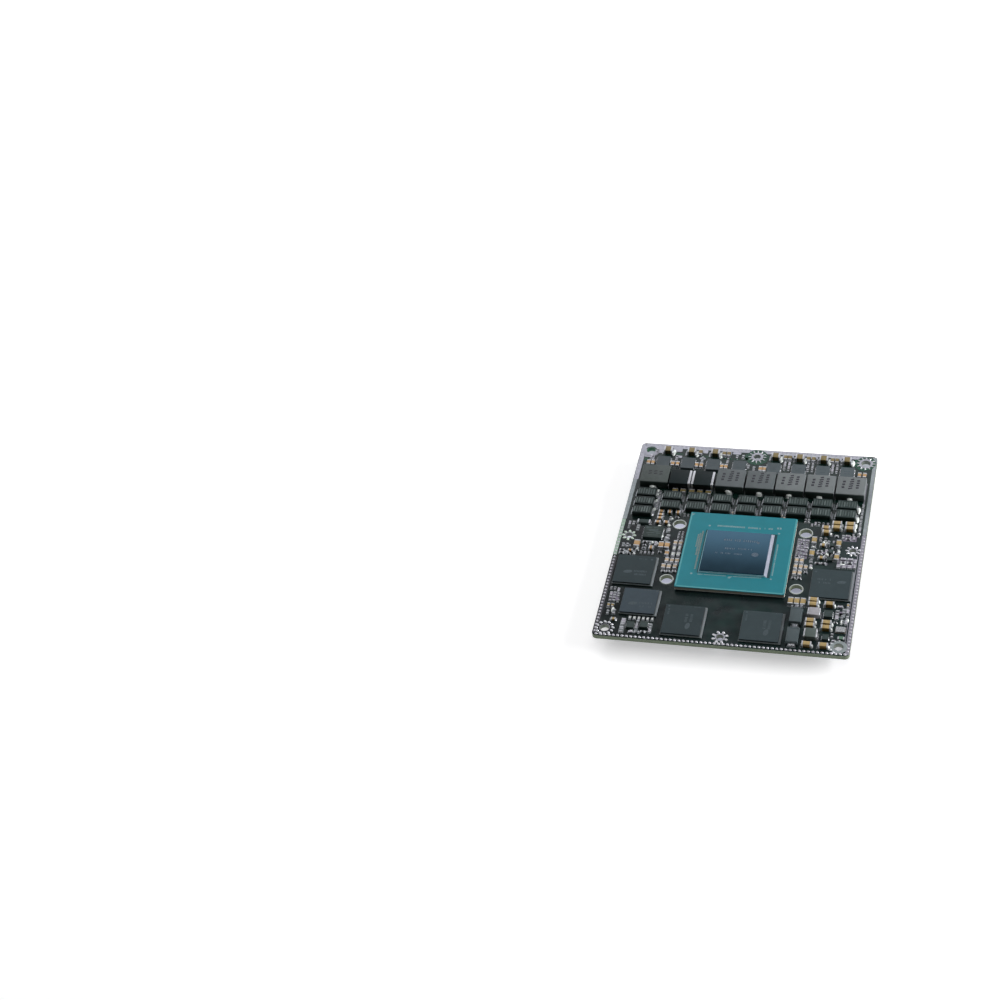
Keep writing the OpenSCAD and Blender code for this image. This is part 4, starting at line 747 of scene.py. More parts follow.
def glaze_corner(m, b):
    # the near-white pick here is a painted highlight
    if -41.5 < m[1] < -39.8 and m[0] < -20:
        return 3
    return (1, 2, 1, 0)[int(abs(m[0] * 5.3 + m[1] * 2.9)) % 4] if m[0] < -20 and m[1] < -41 else glaze(m, b)

def left_ceramic(m, b):
    # the near-white pick here is a painted highlight
    if m[0] > -23 and -9.4 < m[1] < -4:
        return 2
    return 1 if m[0] > -25.5 and m[1] < -9.4 else (1 if m[0] > -23 else 0)

RES = [M["resistor"], M["resistor_mid"], M["resistor_pale"], M["glint_white"]]
group("bulk_capacitor", [M["brown"]], "bulk_capacitor_ceramic", fillet_len=0.8, r=0.12)
group("input_capacitor", [M["orange"], M["brown"]], "capacitor_ceramic", pick=lambda m, b: 1 if m[1] > 44 or m[1] < 30 else 0, fillet_len=0.3, r=0.08)
group("gate_resistor", RES, "resistor_glaze", pick=glaze, fillet_len=0.3, r=0.05)
group("left_capacitor", [M["orange"], M["cream"], M["glint_white"]], "capacitor_ceramic", pick=left_ceramic, fillet_len=0.22)
group("left_resistor", RES, "resistor_glaze", pick=glaze, fillet_len=0.2, r=0.05)
group("right_capacitor", [M["tan"], M["cream"]], "capacitor_ceramic", pick=lambda m, b: 1 if m[0] < 25 else 0, fillet_len=0.3, r=0.09)
group("right_resistor", RES, "resistor_glaze", pick=glaze_right, fillet_len=0.22, r=0.05)
group("corner_capacitor", [M["tan"]], "capacitor_ceramic", fillet_len=0.4, r=0.1)
group("corner_resistor", RES, "resistor_glaze", pick=glaze_corner, fillet_len=0.24, r=0.05)
group("sense_resistor", [M["chip_dark"]], "resistor_glaze", fillet_len=0.3, r=0.06, plural=False)
group("underside_capacitor", [M["tan"]], "capacitor_ceramic", fillet_len=0.24, upper=False)


# ---------------------------------------------------------------- polymer capacitors

def tick_row(out, cx, cy, z, count, pitch, tall, rot, mi=0):
    """Row of short pale strokes of uneven height."""
    for i in range(count):
        u = (i - (count - 1) / 2) * pitch + rng.uniform(-0.05, 0.05)
        t = tall * rng.uniform(0.7, 1.0)
        v = rng.uniform(-0.15, 0.15)
        w = rng.uniform(0.42, 0.6)
        x, y = (cx + u, cy + v) if not rot else (cx - v, cy + u)
        out.plate(x, y, t if rot else w, w if rot else t, z, 0.006, mi=2 if rng.random() < 0.3 else mi)

ticks = Build()
for node, mat in (("polymer_capacitors_back_row", "polymer"), ("polymer_capacitors_front_row", "polymer"), ("polymer_capacitors_side", "polymer_side")):
    out = Build()
    for b in islands(node):
        out.block(b[0], b[1], r=0.16, cr=0.12, draft=0.13, seg=3)
        m = mid(b)
        if node != "polymer_capacitors_side":
            tick_row(ticks, m[0], m[1] - 0.05, b[1][2] + 0.001, 7, 0.92, 3.2, False)
        else:
            ticks.plate(m[0], b[1][1] - 0.75, 3.3, 0.45, b[1][2] + 0.001, 0.006, mi=1)
    out.make(node + "_shapes", M[mat], "polymer_capacitor_mould", replaces=[node])
ticks.make("polymer_marks", [M["mark_pale"], M["mark"], M["mark_paler"]], "polymer_capacitor_mould")

paint("polymer_capacitor_terminals", M["tin"])
runs = Build()
bodies_all = [mid(b) for node in ("polymer_capacitors_back_row", "polymer_capacitors_front_row", "polymer_capacitors_side") for b in islands(node)]
for b in islands("polymer_capacitor_terminals"):
    m = mid(b)
    h = min(bodies_all, key=lambda c: math.hypot(c[0] - m[0], c[1] - m[1]))
    dx, dy = m[0] - h[0], m[1] - h[1]
    if abs(dx) > abs(dy):
        a, x, y = (0.0, b[1][0], m[1]) if dx > 0 else (math.pi, b[0][0], m[1])
    else:
        a, x, y = (math.pi / 2, m[0], b[1][1]) if dy > 0 else (-math.pi / 2, m[0], b[0][1])
    if abs(dx) > abs(dy) and dx < 0:
        runs.fillet(x, y, TOP, a, 2.3, 0.45, 0.22)
        runs.plate(x - 0.05, y, 0.8, 2.6, TOP, 0.03, mi=1)
        continue
    runs.fillet(x, y, TOP, a, 2.6, 0.95, 0.45)
    px, py = x + math.cos(a) * 0.1, y + math.sin(a) * 0.1
    runs.plate(px, py, 1.2 if abs(dx) > abs(dy) else 3.0, 2.9 if abs(dx) > abs(dy) else 1.2, TOP, 0.03, mi=1)
    # pale bead at the rightmost ends: painted highlight
    if x > 38:
        runs.dome(x + 0.6, y - 1.2, TOP + 0.1, 0.62, 1.7, 0.55, mi=2)


# ---------------------------------------------------------------- inductors

marks = Build()
out = Build()
# core colours step lighter from left to right: the middle and light cores are painted light falling off towards the
# left, the warm leftmost core also has its own tone
for n, b in enumerate(islands("power_inductor_cores")):
    hi = [b[1][0], b[1][1], b[1][2] - 0.01]
    out.block(b[0], hi, r=0.35, cr=0.3, seg=3, mi=(1, 0, 0, 2, 2, 2)[n], bottom_r=0.1)
    cx, cy, _ = mid(b)
    z = hi[2] + 0.001
    # generic ink bars in three columns
    if n == 0:
        for x, y, w, d, t in ((-2.0, 1.0, 1.2, 0.6, 0.35), (-1.9, -0.3, 1.2, 0.6, 0.35), (0.0, 1.1, 1.2, 0.6, 0.35), (0.1, -0.2, 1.2, 0.6, 0.35), (2.0, 0.9, 1.2, 0.6, 0.35), (2.1, -0.4, 1.2, 0.6, 0.35)):
            marks.plate(cx + x, cy + y, w, d, z, 0.006, turn=t)
    else:
        for x, y, w, d, t in ((-2.6, 1.6, 1.0, 0.95, 0.2), (-2.7, 0.1, 1.0, 0.95, 0.2), (-2.8, -1.4, 1.0, 0.95, 0.2), (0.2, 3.0, 1.2, 0.7, 0.35),
                              (0.1, 1.8, 1.5, 0.7, 0.35), (0.0, 0.6, 1.5, 0.7, 0.35), (-0.1, -0.6, 1.5, 0.7, 0.35), (-0.2, -1.8, 1.5, 0.7, 0.35),
                              (2.4, 2.4, 1.05, 0.8, 0.2), (2.35, 1.15, 1.05, 0.8, 0.2), (2.3, -0.1, 1.05, 0.8, 0.2), (2.25, -1.35, 1.05, 0.8, 0.2)):
            marks.plate(cx + x, cy + y + 0.3, w, d, z, 0.006, turn=t)
out.make("power_inductor_core_shapes", [M["inductor_mid"], M["inductor_old"], M["inductor_light"]], "inductor_core", replaces=["power_inductor_cores"])
marks.make("inductor_marks", M["mark_ink"], "inductor_core")
paint("power_inductor_terminals", M["tin"])
for b in islands("power_inductor_terminals"):
    m = mid(b)
    front = m[1] < 30.3
    y = b[0][1] if front else b[1][1]
    lead = -1 if front else 1
    # runs and pillows at the inductor ends coloured near white: painted highlight
    runs.fillet(m[0], y, TOP, lead * math.pi / 2, 2.0, 1.35, 0.75, mi=2)
    runs.plate(m[0], y + lead * 0.1, 2.8, 1.3, TOP, 0.03, mi=1)
    runs.dome(m[0] - (0.5 if m[0] < -5 and front else 0.1), y + lead * 0.15, b[1][2] - 0.2, 0.95, 0.62, 0.42, mi=2)

out = Build()
for b in islands("small_inductor_cores"):
    out.block(b[0], b[1], r=0.14, cr=0.1, seg=3, bottom_r=0.06)
out.make("small_inductor_core_shapes", M["ferrite"], "small_inductor_core", replaces=["small_inductor_cores"])
out = Build()
for b in islands("small_inductor_terminals"):
    out.block(b[0], b[1], r=0.12, cr=0.1, seg=3)
    m = mid(b)
    right = m[0] > (-26.1 if m[0] < -22 else -17.9)
    if b[1][2] > 8:
        runs.fillet(b[1][0] if right else b[0][0], m[1], TOP, 0.0 if right else math.pi, 6.0, 1.4, 0.14 if m[0] < -18 else 0.35)
out.make("small_inductor_end_shapes", M["tin"], "tin_plating", replaces=["small_inductor_terminals"])

out = Build()
for n, b in enumerate(islands("filter_inductor_cores")):
    out.block(b[0], b[1], r=0.18, cr=0.15, seg=3, mi=1 if mid(b)[1] < -38 else 0)
out.make("filter_inductor_core_shapes", [M["filter_light"], M["filter_grey"]], "filter_inductor_core", replaces=["filter_inductor_cores"])
out = Build()
for b in islands("filter_inductor_terminals"):
    out.block(b[0], b[1], r=0.12, cr=0.12, seg=3)
    m = mid(b)
    right = m[0] > 29.9
    runs.fillet(b[1][0] if right else b[0][0], m[1], TOP, 0.0 if right else math.pi, 3.2, 1.3, 0.5 if right else 0.3)
out.make("filter_inductor_end_shapes", M["tin"], "tin_plating", replaces=["filter_inductor_terminals"])
def right_ends(bodies, ends):
    """End caps at the right of their bodies."""
    cores = [(mid(b), b) for b in islands(bodies)]
    found = []
    for t in islands(ends):
        m = mid(t)
        c, b = min(cores, key=lambda q: (q[0][0] - m[0]) ** 2 + (q[0][1] - m[1]) ** 2)
        if m[0] - c[0] > abs(m[1] - c[1]):
            found.append(t)
    return found
# pale beads at the capacitors' right ends: painted highlight
for t in right_ends("bulk_capacitor_bodies", "bulk_capacitor_terminals"):
    m = mid(t)
    runs.dome(t[1][0] + 0.6, m[1] - 0.3, TOP, 0.75, 1.7, 0.6, mi=2)
for t in right_ends("right_capacitor_bodies", "right_capacitor_terminals") + right_ends("corner_capacitor_bodies", "corner_capacitor_terminals"):
    m = mid(t)
    if m[0] > 29.5 and t[1][1] - t[0][1] > 1.3:
        runs.dome(t[1][0] + 0.12, m[1] - 0.15, TOP, 0.5, (t[1][1] - t[0][1]) * 0.5, (t[1][2] - TOP) * 0.5, mi=2)
# pale beads at listed places: painted highlight
for x, y, rx, ry, h in ((39.4, 12.4, 0.5, 1.4, 0.5), (39.4, -34.7, 0.42, 1.2, 0.5), (41.3, -33.7, 0.5, 0.9, 0.45), (-33.2, 24.1, 0.55, 0.8, 0.5), (-32.8, 22.0, 0.6, 0.7, 0.5),
                        (-32.8, 18.7, 0.7, 0.8, 0.5), (-32.9, 14.2, 0.7, 0.9, 0.5), (-27.8, 0.6, 0.6, 0.8, 0.4), (-29.6, 5.6, 0.6, 0.6, 0.4),
                        (-30.7, -3.0, 0.7, 0.6, 0.4), (-38.4, -37.3, 0.55, 1.4, 0.4), (-36.1, -9.2, 0.5, 0.5, 0.5), (-35.5, -7.0, 0.55, 0.4, 0.4), (29.2, 3.2, 0.5, 0.6, 0.4),
                        (30.9, -3.0, 0.75, 0.6, 0.7), (34.8, -0.9, 0.6, 0.8, 0.5), (26.2, -10.0, 0.65, 0.55, 0.6), (36.6, -7.2, 1.1, 0.5, 0.4),
                        (-26.3, 6.4, 0.6, 0.75, 0.5), (-28.6, -3.5, 0.6, 0.55, 0.5), (-25.7, 9.9, 0.5, 0.5, 0.4)):
    runs.dome(x, y, TOP, rx, ry, h, mi=2)
# loose solder runs between neighbouring pads; those right of x 25 mm are coloured near white, a painted highlight
for x, y, rx, ry, h, t in ((30.2, 3.0, 1.0, 0.4, 0.35, 0.9), (30.5, -3.4, 0.9, 0.38, 0.35, 0.9), (33.3, 6.9, 0.45, 0.45, 0.5, 0), (26.0, 0.5, 0.6, 0.6, 0.5, 0),
                          (-26.0, -0.2, 0.75, 0.7, 0.5, 0), (-25.7, 3.8, 0.5, 0.5, 0.5, 0), (-29.2, -3.6, 0.45, 0.9, 0.5, 0.3), (41.0, 8.6, 0.4, 0.8, 0.4, 0),
                          (-38.6, -8.9, 0.5, 0.45, 0.4, 0), (-24.0, -45.6, 0.4, 0.9, 0.35, 0), (-25.6, -46.6, 0.8, 0.35, 0.3, 0.4), (-30.4, -46.6, 0.6, 0.5, 0.35, 0.3)):
    runs.dome(x, y, TOP, rx, ry, h, turn=t, mi=2 if x > 25 else 0)
runs.make("solder_runs", [M["solder"], M["pad"], M["solder_glint"]], "solder")


# ---------------------------------------------------------------- packages

def bars(out, cx, cy, z, length, tall, rot=0.0, mi=0, pitch=0.42):
    """Line of tiny upright dashes, a generic stand-in for a printed line."""
    count = max(2, int(length / pitch))
    for i in range(count):
        u = (i - (count - 1) / 2) * pitch
        if rng.random() < 0.12:
            continue
        w, t = rng.uniform(0.4, 0.75) * pitch, tall * rng.uniform(0.75, 1.0)
        c, s = math.cos(rot), math.sin(rot)
        out.plate(cx + u * c, cy + u * s, w, t, z, 0.006, turn=rot, mi=mi)

def ellipse(out, cx, cy, z, rx, ry, rot=0.0, mi=0, n=24):
    c, s = math.cos(rot), math.sin(rot)
    rings_ = []
    for zz in (z, z + 0.006):
        rings_.append([(cx + rx * math.cos(t) * c - ry * math.sin(t) * s, cy + rx * math.cos(t) * s + ry * math.sin(t) * c, zz)
                       for t in (2 * math.pi * i / n for i in range(n))])
    out.loft(rings_, mi)

paint("memory_substrates", M["substrate"])
paint("storage_substrate", M["substrate"])
for n in ("memory_chip_left", "memory_chip_front_left"):
    paint(n, M["memory"])
for n in ("memory_chip_front_right", "memory_chip_right"):
    paint(n, M["memory_b"])
paint("storage_chip", M["storage"])

# pale run and strip along each package's right edge: painted highlight of the wall lit from the right, dimmer for
# packages between x 0 and 30 mm
edge_glint = Build()
for node in ("memory_substrates", "storage_substrate"):
    for b in islands(node):
        cx, cy, _ = mid(b)
        dim = 1 if 0 < cx < 30 else 0
        edge_glint.fillet(b[1][0], cy, TOP, 0.0, (b[1][1] - b[0][1]) * 1.0, 0.5, 0.12, mi=dim)
        edge_glint.plate(b[1][0] - 0.22, cy, 0.42, b[1][1] - b[0][1] - 0.3, b[1][2], 0.012, cr=0.05, mi=dim)
edge_glint.make("package_edge_highlight", [M["edge_glint"], M["edge_glint_dim"]], "package_substrate")

pm = Build()
for node, kind in (("memory_chip_left", "a"), ("storage_chip", "a"), ("memory_chip_right", "b"), ("memory_chip_front_left", "c"), ("memory_chip_front_right", "c")):
    b = islands(node)[0]
    cx, cy, _ = mid(b)
    z = b[1][2] + 0.001
    if kind == "a":
        ellipse(pm, cx - 2.1, cy - 1.45, z, 1.6, 0.75, rot=0.15)
        bars(pm, cx + 2.3, cy - 1.0, z, 4.8, 1.0, pitch=0.52)
        bars(pm, cx + 2.5, cy - 2.6, z, 4.2, 0.95, pitch=0.52)
        bars(pm, cx + 2.2, cy + 5.2, z, 3.2, 0.5)
        ellipse(pm, cx + 5.4, cy + 5.2, z, 0.42, 0.42)
    elif kind == "b":
        bars(pm, cx - 2.4, cy + 1.8, z, 4.8, 1.0, pitch=0.52)
        bars(pm, cx - 2.1, cy + 0.2, z, 4.4, 0.95, pitch=0.52)
        ellipse(pm, cx + 3.6, cy + 1.0, z, 1.6, 0.75, rot=0.15)
        ellipse(pm, cx - 5.6, cy + 5.4, z, 0.4, 0.4)
    else:
        bars(pm, cx + 1.1, cy + 0.9, z, 4.4, 1.05, rot=math.pi / 2, pitch=0.52)
        bars(pm, cx + 2.8, cy + 0.8, z, 4.4, 1.05, rot=math.pi / 2, pitch=0.52)
        ellipse(pm, cx + 2.0, cy - 2.8, z, 0.8, 1.5, rot=-0.15)
        bars(pm, cx - 5.4, cy + 3.2, z, 3.4, 0.7, rot=math.pi / 2)
        ellipse(pm, cx - 5.6, cy + 6.0, z, 0.36, 0.36)
        bars(pm, cx + 4.4, cy + 6.3, z, 3.2, 0.3)
pm.make("package_marks", M["mark"], "memory_mould")

paint("power_stage_chips", M["chip"])
paint("controller_chip", M["chip_power"])
paint("regulator_chips", M["chip_dark"])
for n in ("power_stage_lands", "controller_chip_lands", "regulator_chip_lands"):
    paint(n, M["tin"])
toes = Build()
for n in ("power_stage_lands", "controller_chip_lands", "regulator_chip_lands"):
    host = {"power_stage_lands": "power_stage_chips", "controller_chip_lands": "controller_chip", "regulator_chip_lands": "regulator_chips"}[n]
    hosts = [mid(b) for b in islands(host)]
    for b in islands(n):
        m = mid(b)
        h = min(hosts, key=lambda c: math.hypot(c[0] - m[0], c[1] - m[1]))
        right = m[0] > h[0]
        toes.fillet(b[1][0] - 0.1 if right else b[0][0] + 0.1, m[1], TOP, 0.0 if right else math.pi, (b[1][1] - b[0][1]) * 1.05, 0.22, 0.34)
toes.make("chip_solder_toes", M["solder"], "solder")
sm = Build()
for node in ("power_stage_chips", "controller_chip", "regulator_chips"):
    for b in islands(node):
        cx, cy, _ = mid(b)
        w, d = b[1][0] - b[0][0], b[1][1] - b[0][1]
        z = b[1][2] + 0.001
        ellipse(sm, b[0][0] + 0.16 * w, b[1][1] - 0.14 * d, z, 0.05 * w, 0.05 * w, n=14)
        bars(sm, cx, cy + 0.1 * d, z, 0.55 * w, 0.1 * d, pitch=0.3)
        bars(sm, cx, cy - 0.12 * d, z, 0.45 * w, 0.1 * d, pitch=0.3)
b = islands("controller_chip")[0]
cx, cy, _ = mid(b)
for x, y, w, d, t in ((-1.8, 1.9, 2.4, 0.4, 0.1), (0.9, 2.0, 1.8, 0.35, 0.0), (-0.4, 1.1, 4.2, 0.4, 0.05), (0.6, 0.2, 4.4, 0.4, -0.05), (-1.0, -0.8, 2.6, 0.4, 0.1), (1.9, -0.7, 1.6, 0.5, 0.0), (0.2, -1.8, 3.6, 0.35, 0.05)):
    sm.plate(cx + x, cy + y, w, d, b[1][2] + 0.002, 0.006, turn=t, mi=1)
sm.make("small_chip_marks", [M["mark"], M["mark_pale"]], "chip_mould")


# ---------------------------------------------------------------- processor

paint("processor_carrier", M["carrier"])
paint("processor_die", M["die"])
paint("processor_underfill", M["underfill"])
pc = Build()
CT = 7.601
LIFT = 1.0 - 2.0 / 501.5
def on_carrier(x, y):
    """A mark read on the board's plane, moved to the carrier's upper face."""
    return x + 2.0 * (93.9 - x) / 499.5, y - 2.0 * (y + 515.7) / 499.5
def dashes(ax, ay, bx, by, tall, pitch=0.3, keep=0.97):
    length = math.hypot(bx - ax, by - ay)
    rot = math.atan2(by - ay, bx - ax)
    count = int(length / pitch)
    for i in range(count):
        if rng.random() > keep:
            continue
        t = (i + 0.5) / count
        pc.plate(ax + (bx - ax) * t, ay + (by - ay) * t, pitch * rng.uniform(0.68, 0.86), tall * rng.uniform(0.85, 1.0), CT, 0.012, turn=rot)
dashes(-8.6, 5.95, 1.2, 6.0, 0.85)
dashes(2.3, 6.0, 6.8, 5.95, 0.85)
dashes(8.0, 6.15, 8.5, 6.15, 0.8)
dashes(9.5, 6.15, 11.1, 6.15, 0.8)
dashes(13.8, -1.4, 13.8, -17.1, 0.55, keep=0.95)
dashes(-11.8, -19.0, -1.8, -18.8, 0.55)
dashes(0.4, -18.85, 10.3, -18.6, 0.55)
def column(x, y0, y1, w, pitch=0.34, mi=1):
    y = y0
    while y > y1:
        pc.plate(x + rng.uniform(-0.04, 0.04), y, w * rng.uniform(0.85, 1.0), pitch * rng.uniform(0.7, 0.92), CT, 0.012, mi=mi)
        y -= pitch
column(-13.15, 2.6, -16.6, 0.62)
column(-13.85, 1.4, -9.5, 0.6)
column(-14.5, 0.8, -5.6, 0.5)
for px, py, r in ((-11.3, 5.7, 0.42), (13.5, 4.05, 0.4), (-14.0, -18.9, 0.42), (13.6, -18.8, 0.34), (-0.7, -19.5, 0.5), (-0.1, -19.1, 0.3)):
    pc.tube(px, py, [(0.0001, CT), (0.0001, CT + 0.014), (r, CT + 0.014), (r, CT)], n=16)
pc.plate(12.8, 6.7, 0.6, 0.9, CT, 0.012)
pc.plate(13.7, 6.7, 0.6, 0.9, CT, 0.012)
# painted shadow line along the bead, painted highlight line along the carrier's left, right and front edges
dbox = islands("processor_underfill")[0]
cbox = islands("processor_carrier")[0]
dx0, dx1, dy0, dy1 = dbox[0][0], dbox[1][0], dbox[0][1], dbox[1][1]
pc.plate(dx0 - 0.15, (dy0 + dy1) / 2, 0.32, dy1 - dy0 + 0.4, CT, 0.008, cr=0.1, mi=2)
pc.plate((dx0 + dx1) / 2, dy1 + 0.15, dx1 - dx0 + 0.6, 0.3, CT, 0.008, cr=0.1, mi=2)
pc.plate(dx1 + 0.5, (dy0 + dy1) / 2, 1.0, dy1 - dy0 + 0.6, CT, 0.008, cr=0.1, mi=2)
pc.plate(cbox[0][0] + 0.4, (cbox[0][1] + cbox[1][1]) / 2, 0.5, cbox[1][1] - cbox[0][1] - 0.6, CT, 0.006, cr=0.1, mi=3)
pc.plate(cbox[1][0] - 0.35, (cbox[0][1] + cbox[1][1]) / 2, 0.5, cbox[1][1] - cbox[0][1] - 0.6, CT, 0.006, cr=0.1, mi=3)
pc.plate((cbox[0][0] + cbox[1][0]) / 2, cbox[0][1] + 0.4, cbox[1][0] - cbox[0][0] - 0.6, 0.5, CT, 0.006, cr=0.1, mi=3)
pc.dome(-11.25, -16.35, CT, 0.55, 0.5, 0.5, mi=4)
x, y = on_carrier(-18.4, 13.0)
pc.add([(x - 0.5, y + 0.5, CT), (x + 0.7, y + 0.5, CT), (x - 0.5, y - 0.7, CT), (x - 0.5, y + 0.5, CT + 0.012), (x + 0.7, y + 0.5, CT + 0.012), (x - 0.5, y - 0.7, CT + 0.012)],
       [(0, 1, 2), (3, 5, 4), (0, 3, 4, 1), (1, 4, 5, 2), (2, 5, 3, 0)])
pc.make("carrier_marks", [M["carrier_mark"], M["carrier_mark_grey"], M["carrier_dark"], M["carrier_edge"], M["underfill"]], "tin_plating")

dm = Build()
DT = 8.401
bars(dm, 0.9, -1.7, DT, 12.0, 1.1, pitch=0.75)
ellipse(dm, 7.1, -2.2, DT, 0.45, 0.5)
bars(dm, -2.7, -6.0, DT, 4.6, 1.0, pitch=0.6)
bars(dm, 2.9, -5.8, DT, 5.0, 0.7, pitch=0.5)
bars(dm, -4.6, -8.5, DT, 5.6, 0.8, pitch=0.5)
bars(dm, 0.8, -8.5, DT, 3.4, 0.7, pitch=0.5)
ellipse(dm, 6.7, -8.2, DT, 1.25, 1.0)
dm.make("die_marks", M["mark_die"], "silicon_die")


# ---------------------------------------------------------------- rest

for n in ("memory_solder_balls", "storage_solder_balls", "connector_solder_balls"):
    paint(n, M["solder"])
# processor balls coloured near white: painted light on balls that sit in shade
paint("processor_solder_balls", M["solder_glint"])
paint("clock_crystal_can", M["lid"])
paint("clock_crystal_base", M["crystal_base"])
paint("status_lamp_body", M["lamp"])
paint("status_lamp_terminals", M["tin"])
paint("connector_housing", M["plastic"])
paint("connector_contacts", M["gold"])


# ---------------------------------------------------------------- floor and light

def emission(name, strength_nodes):
    m = bpy.data.materials.new(name)
    m.use_nodes = True
    nt = m.node_tree
    nt.nodes.clear()
    out_ = nt.nodes.new("ShaderNodeOutputMaterial")
    em = nt.nodes.new("ShaderNodeEmission")
    nt.links.new(em.outputs[0], out_.inputs["Surface"])
    strength_nodes(nt, em)
    return m

floor_mesh = bpy.data.meshes.new("floor")
S = 6.0
floor_mesh.from_pydata([(-S, -S, 0), (S, -S, 0), (S, S, 0), (-S, S, 0)], [], [(0, 1, 2, 3)])
floor = bpy.data.objects.new("floor", floor_mesh)
fm = bpy.data.materials.new("floor")
fm.use_nodes = True
fb = fm.node_tree.nodes["Principled BSDF"]
fb.inputs["Base Color"].default_value = (0.86, 0.86, 0.86, 1)
fb.inputs["Roughness"].default_value = 0.9
fb.inputs["Specular IOR Level"].default_value = 0.0
ft = fm.node_tree
fc = ft.nodes.new("ShaderNodeTexCoord")
fs = ft.nodes.new("ShaderNodeSeparateXYZ")
ft.links.new(fc.outputs["Object"], fs.inputs["Vector"])
def ramp(axis, start, stop, low, high, kind="SMOOTHSTEP"):
    mr = ft.nodes.new("ShaderNodeMapRange")
    mr.interpolation_type = kind
    for k, v in (("From Min", start), ("From Max", stop), ("To Min", low), ("To Max", high)):
        mr.inputs[k].default_value = v
    ft.links.new(fs.outputs[axis], mr.inputs["Value"])
    return mr.outputs["Result"]
def calc(kind, one, two):
    n = ft.nodes.new("ShaderNodeMath"); n.operation = kind
    ft.links.new(one, n.inputs[0])
    ft.links.new(two, n.inputs[1])
    return n.outputs[0]
def corner(axis_x, axis_y):
    return calc("MULTIPLY", ramp("X", *axis_x), ramp("Y", *axis_y))
# under the module the floor's glow is lowered, most towards the right front, and tinted lavender: a painted shadow seen
# through the holes; near the front-left corner it is left plain, and at the back, from y 44 mm to just behind the back
# edge, glow and colour drop further, more painted shadow
cover = calc("MULTIPLY", calc("MULTIPLY", ramp("X", -0.0452, -0.0435, 0, 1), ramp("X", 0.0400, 0.0432, 1, 0)),
            calc("MULTIPLY", ramp("Y", -0.0470, -0.0440, 0, 1), ramp("Y", 0.0530, 0.0556, 1, 0)))
open_corner = corner((-0.0375, -0.0350, 1, 0), (-0.0375, -0.0350, 1, 0))
shut_corner = corner((0.0340, 0.0365, 0, 0.16), (-0.0375, -0.0350, 1, 0))
both = calc("SUBTRACT", cover, calc("MULTIPLY", cover, open_corner))
deep = calc("ADD", ramp("X", -0.026, 0.026, 0.46, 0.31, "LINEAR"), ramp("Y", -0.014, 0.016, -0.045, 0.055, "LINEAR"))
deep = calc("SUBTRACT", deep, shut_corner)
rear = calc("MULTIPLY", both, ramp("Y", 0.0440, 0.0490, 0, 1))
level = ft.nodes.new("ShaderNodeMix"); level.data_type = "FLOAT"
ft.links.new(both, level.inputs["Factor"])
level.inputs[2].default_value = 0.45
ft.links.new(deep, level.inputs[3])
hold = ft.nodes.new("ShaderNodeMix"); hold.data_type = "FLOAT"
ft.links.new(rear, hold.inputs["Factor"])
ft.links.new(level.outputs[0], hold.inputs[2])
hold.inputs[3].default_value = 0.10
ft.links.new(hold.outputs[0], fb.inputs["Emission Strength"])
tone = ft.nodes.new("ShaderNodeMix"); tone.data_type = "RGBA"
ft.links.new(rear, tone.inputs["Factor"])
tone.inputs[6].default_value = (0.86, 0.86, 0.86, 1)
tone.inputs[7].default_value = (0.30, 0.33, 0.34, 1)
ft.links.new(tone.outputs[2], fb.inputs["Base Color"])
hue = ft.nodes.new("ShaderNodeMix"); hue.data_type = "RGBA"
ft.links.new(both, hue.inputs["Factor"])
hue.inputs[6].default_value = (1.0, 1.0, 1.0, 1)
hue.inputs[7].default_value = (0.93, 0.96, 1.19, 1)
ft.links.new(hue.outputs[2], fb.inputs["Emission Color"])
floor_mesh.materials.append(fm)
bpy.context.scene.collection.objects.link(floor)

# card behind the module: bright at its foot, fading upwards; the flat glossy faces mirror it
def card_strength(nt, em):
    tc = nt.nodes.new("ShaderNodeTexCoord")
    sp = nt.nodes.new("ShaderNodeSeparateXYZ")
    nt.links.new(tc.outputs["Object"], sp.inputs["Vector"])
    ramp = nt.nodes.new("ShaderNodeValToRGB")
    mr = nt.nodes.new("ShaderNodeMapRange")
    mr.inputs["From Min"].default_value = 0.20
    mr.inputs["From Max"].default_value = 0.50
    nt.links.new(sp.outputs["Z"], mr.inputs["Value"])
    nt.links.new(mr.outputs["Result"], ramp.inputs["Fac"])
    e = ramp.color_ramp.elements
    stops = [(0.0, 0.8), (0.22, 0.66), (0.34, 0.50), (0.45, 0.40), (0.51, 0.26), (0.565, 0.075), (0.72, 0.035), (1.0, 0.03)]
    e[0].position, e[0].color = stops[0][0], (stops[0][1],) * 3 + (1,)
    e[1].position, e[1].color = stops[-1][0], (stops[-1][1],) * 3 + (1,)
    for p, v in stops[1:-1]:
        x = e.new(p)
        x.color = (v, v, v, 1)
    em.inputs["Color"].default_value = (0.95, 0.93, 1.0, 1)
    mul = nt.nodes.new("ShaderNodeMath"); mul.operation = "MULTIPLY"
    nt.links.new(ramp.outputs["Color"], mul.inputs[0])
    mul.inputs[1].default_value = 1.9
    nt.links.new(mul.outputs[0], em.inputs["Strength"])

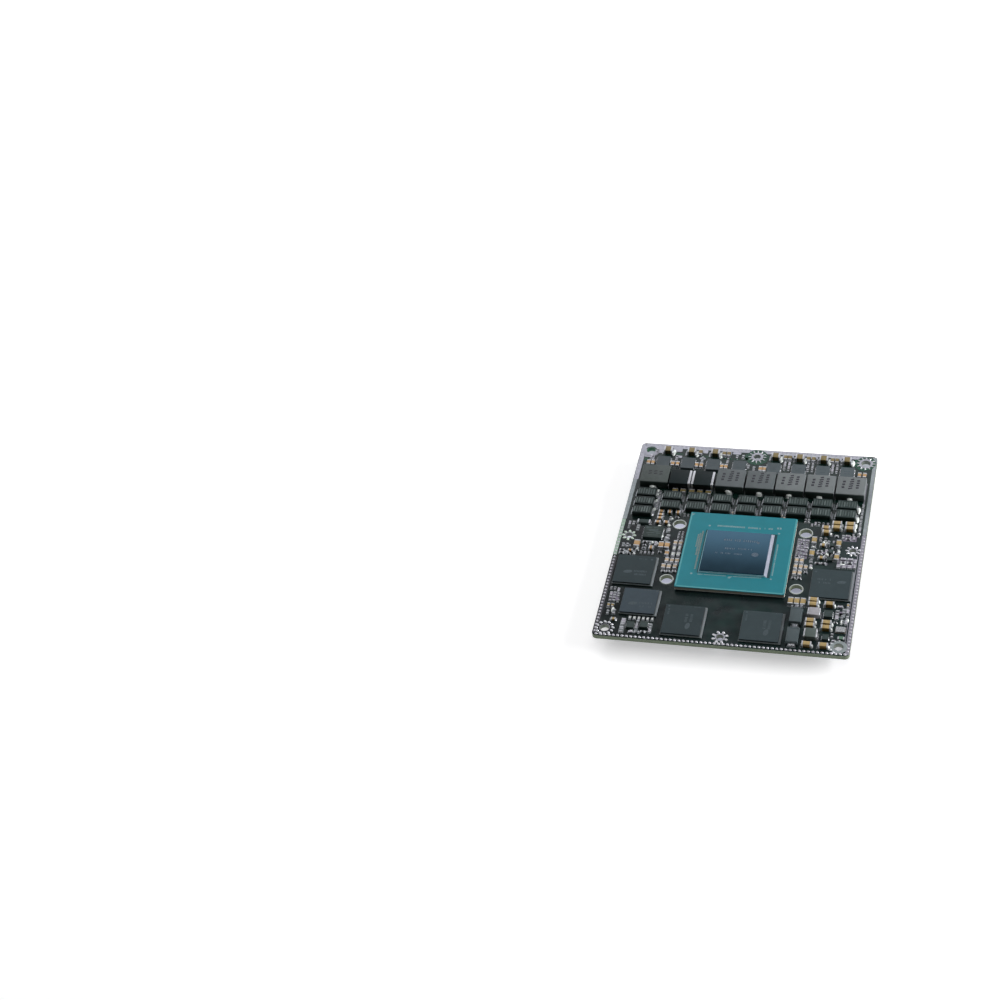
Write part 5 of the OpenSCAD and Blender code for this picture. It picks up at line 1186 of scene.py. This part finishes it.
card_mesh = bpy.data.meshes.new("card")
card_mesh.from_pydata([(-0.75, 0.35, 0.07), (0.11, 0.35, 0.07), (0.11, 0.35, 0.62), (-0.75, 0.35, 0.62)], [], [(0, 1, 2, 3)])
card = bpy.data.objects.new("card", card_mesh)
card_mesh.materials.append(emission("card", card_strength))
bpy.context.scene.collection.objects.link(card)
card.visible_camera = False
card.visible_shadow = False
card.visible_diffuse = False


def area(name, loc, target, sx, sy, power, color=(1, 1, 1)):
    d = bpy.data.lights.new(name, "AREA")
    d.shape = "RECTANGLE"
    d.size, d.size_y = sx, sy
    d.energy = power
    d.color = color
    o = bpy.data.objects.new(name, d)
    bpy.context.scene.collection.objects.link(o)
    o.location = loc
    o.rotation_mode = "QUATERNION"
    o.rotation_quaternion = (Vector(target) - Vector(loc)).to_track_quat("-Z", "Y")
    o.visible_camera = False
    return o

area("back_left_softbox", (-0.66, 0.86, 0.62), (0, 0, 0), 0.8, 0.6, 6.4, (1.0, 0.99, 1.0))
area("right_softbox", (0.42, 0.10, 0.17), (0, 0, 0), 0.36, 0.2, 2.2, (1.0, 0.99, 1.0))
area("top_softbox", (0.1, 0.55, 1.2), (0, 0, 0), 1.0, 0.8, 2.0)
area("front_top_softbox", (-0.05, -0.35, 1.1), (0, 0, 0), 0.6, 0.5, 1.4)

# soft surround: bright behind and above, dim on the camera's side
world = bpy.data.worlds.new("studio")
world.use_nodes = True
bpy.context.scene.world = world
wt = world.node_tree
bg = wt.nodes["Background"]
bg.inputs["Color"].default_value = (0.97, 0.98, 1.0, 1)
wc = wt.nodes.new("ShaderNodeTexCoord")
ws = wt.nodes.new("ShaderNodeSeparateXYZ")
wt.links.new(wc.outputs["Generated"], ws.inputs["Vector"])
wm = wt.nodes.new("ShaderNodeMapRange")
wm.interpolation_type = "SMOOTHSTEP"
wm.inputs["From Min"].default_value = -0.5
wm.inputs["From Max"].default_value = 0.7
wm.inputs["To Min"].default_value = 0.06
wm.inputs["To Max"].default_value = 0.45
wt.links.new(ws.outputs["Y"], wm.inputs["Value"])
wt.links.new(wm.outputs["Result"], bg.inputs["Strength"])

bpy.context.scene.view_settings.view_transform = "Standard"
bpy.context.scene.view_settings.look = "None"
bpy.context.scene.view_settings.exposure = 0.0
bpy.context.scene.view_settings.gamma = 1.0
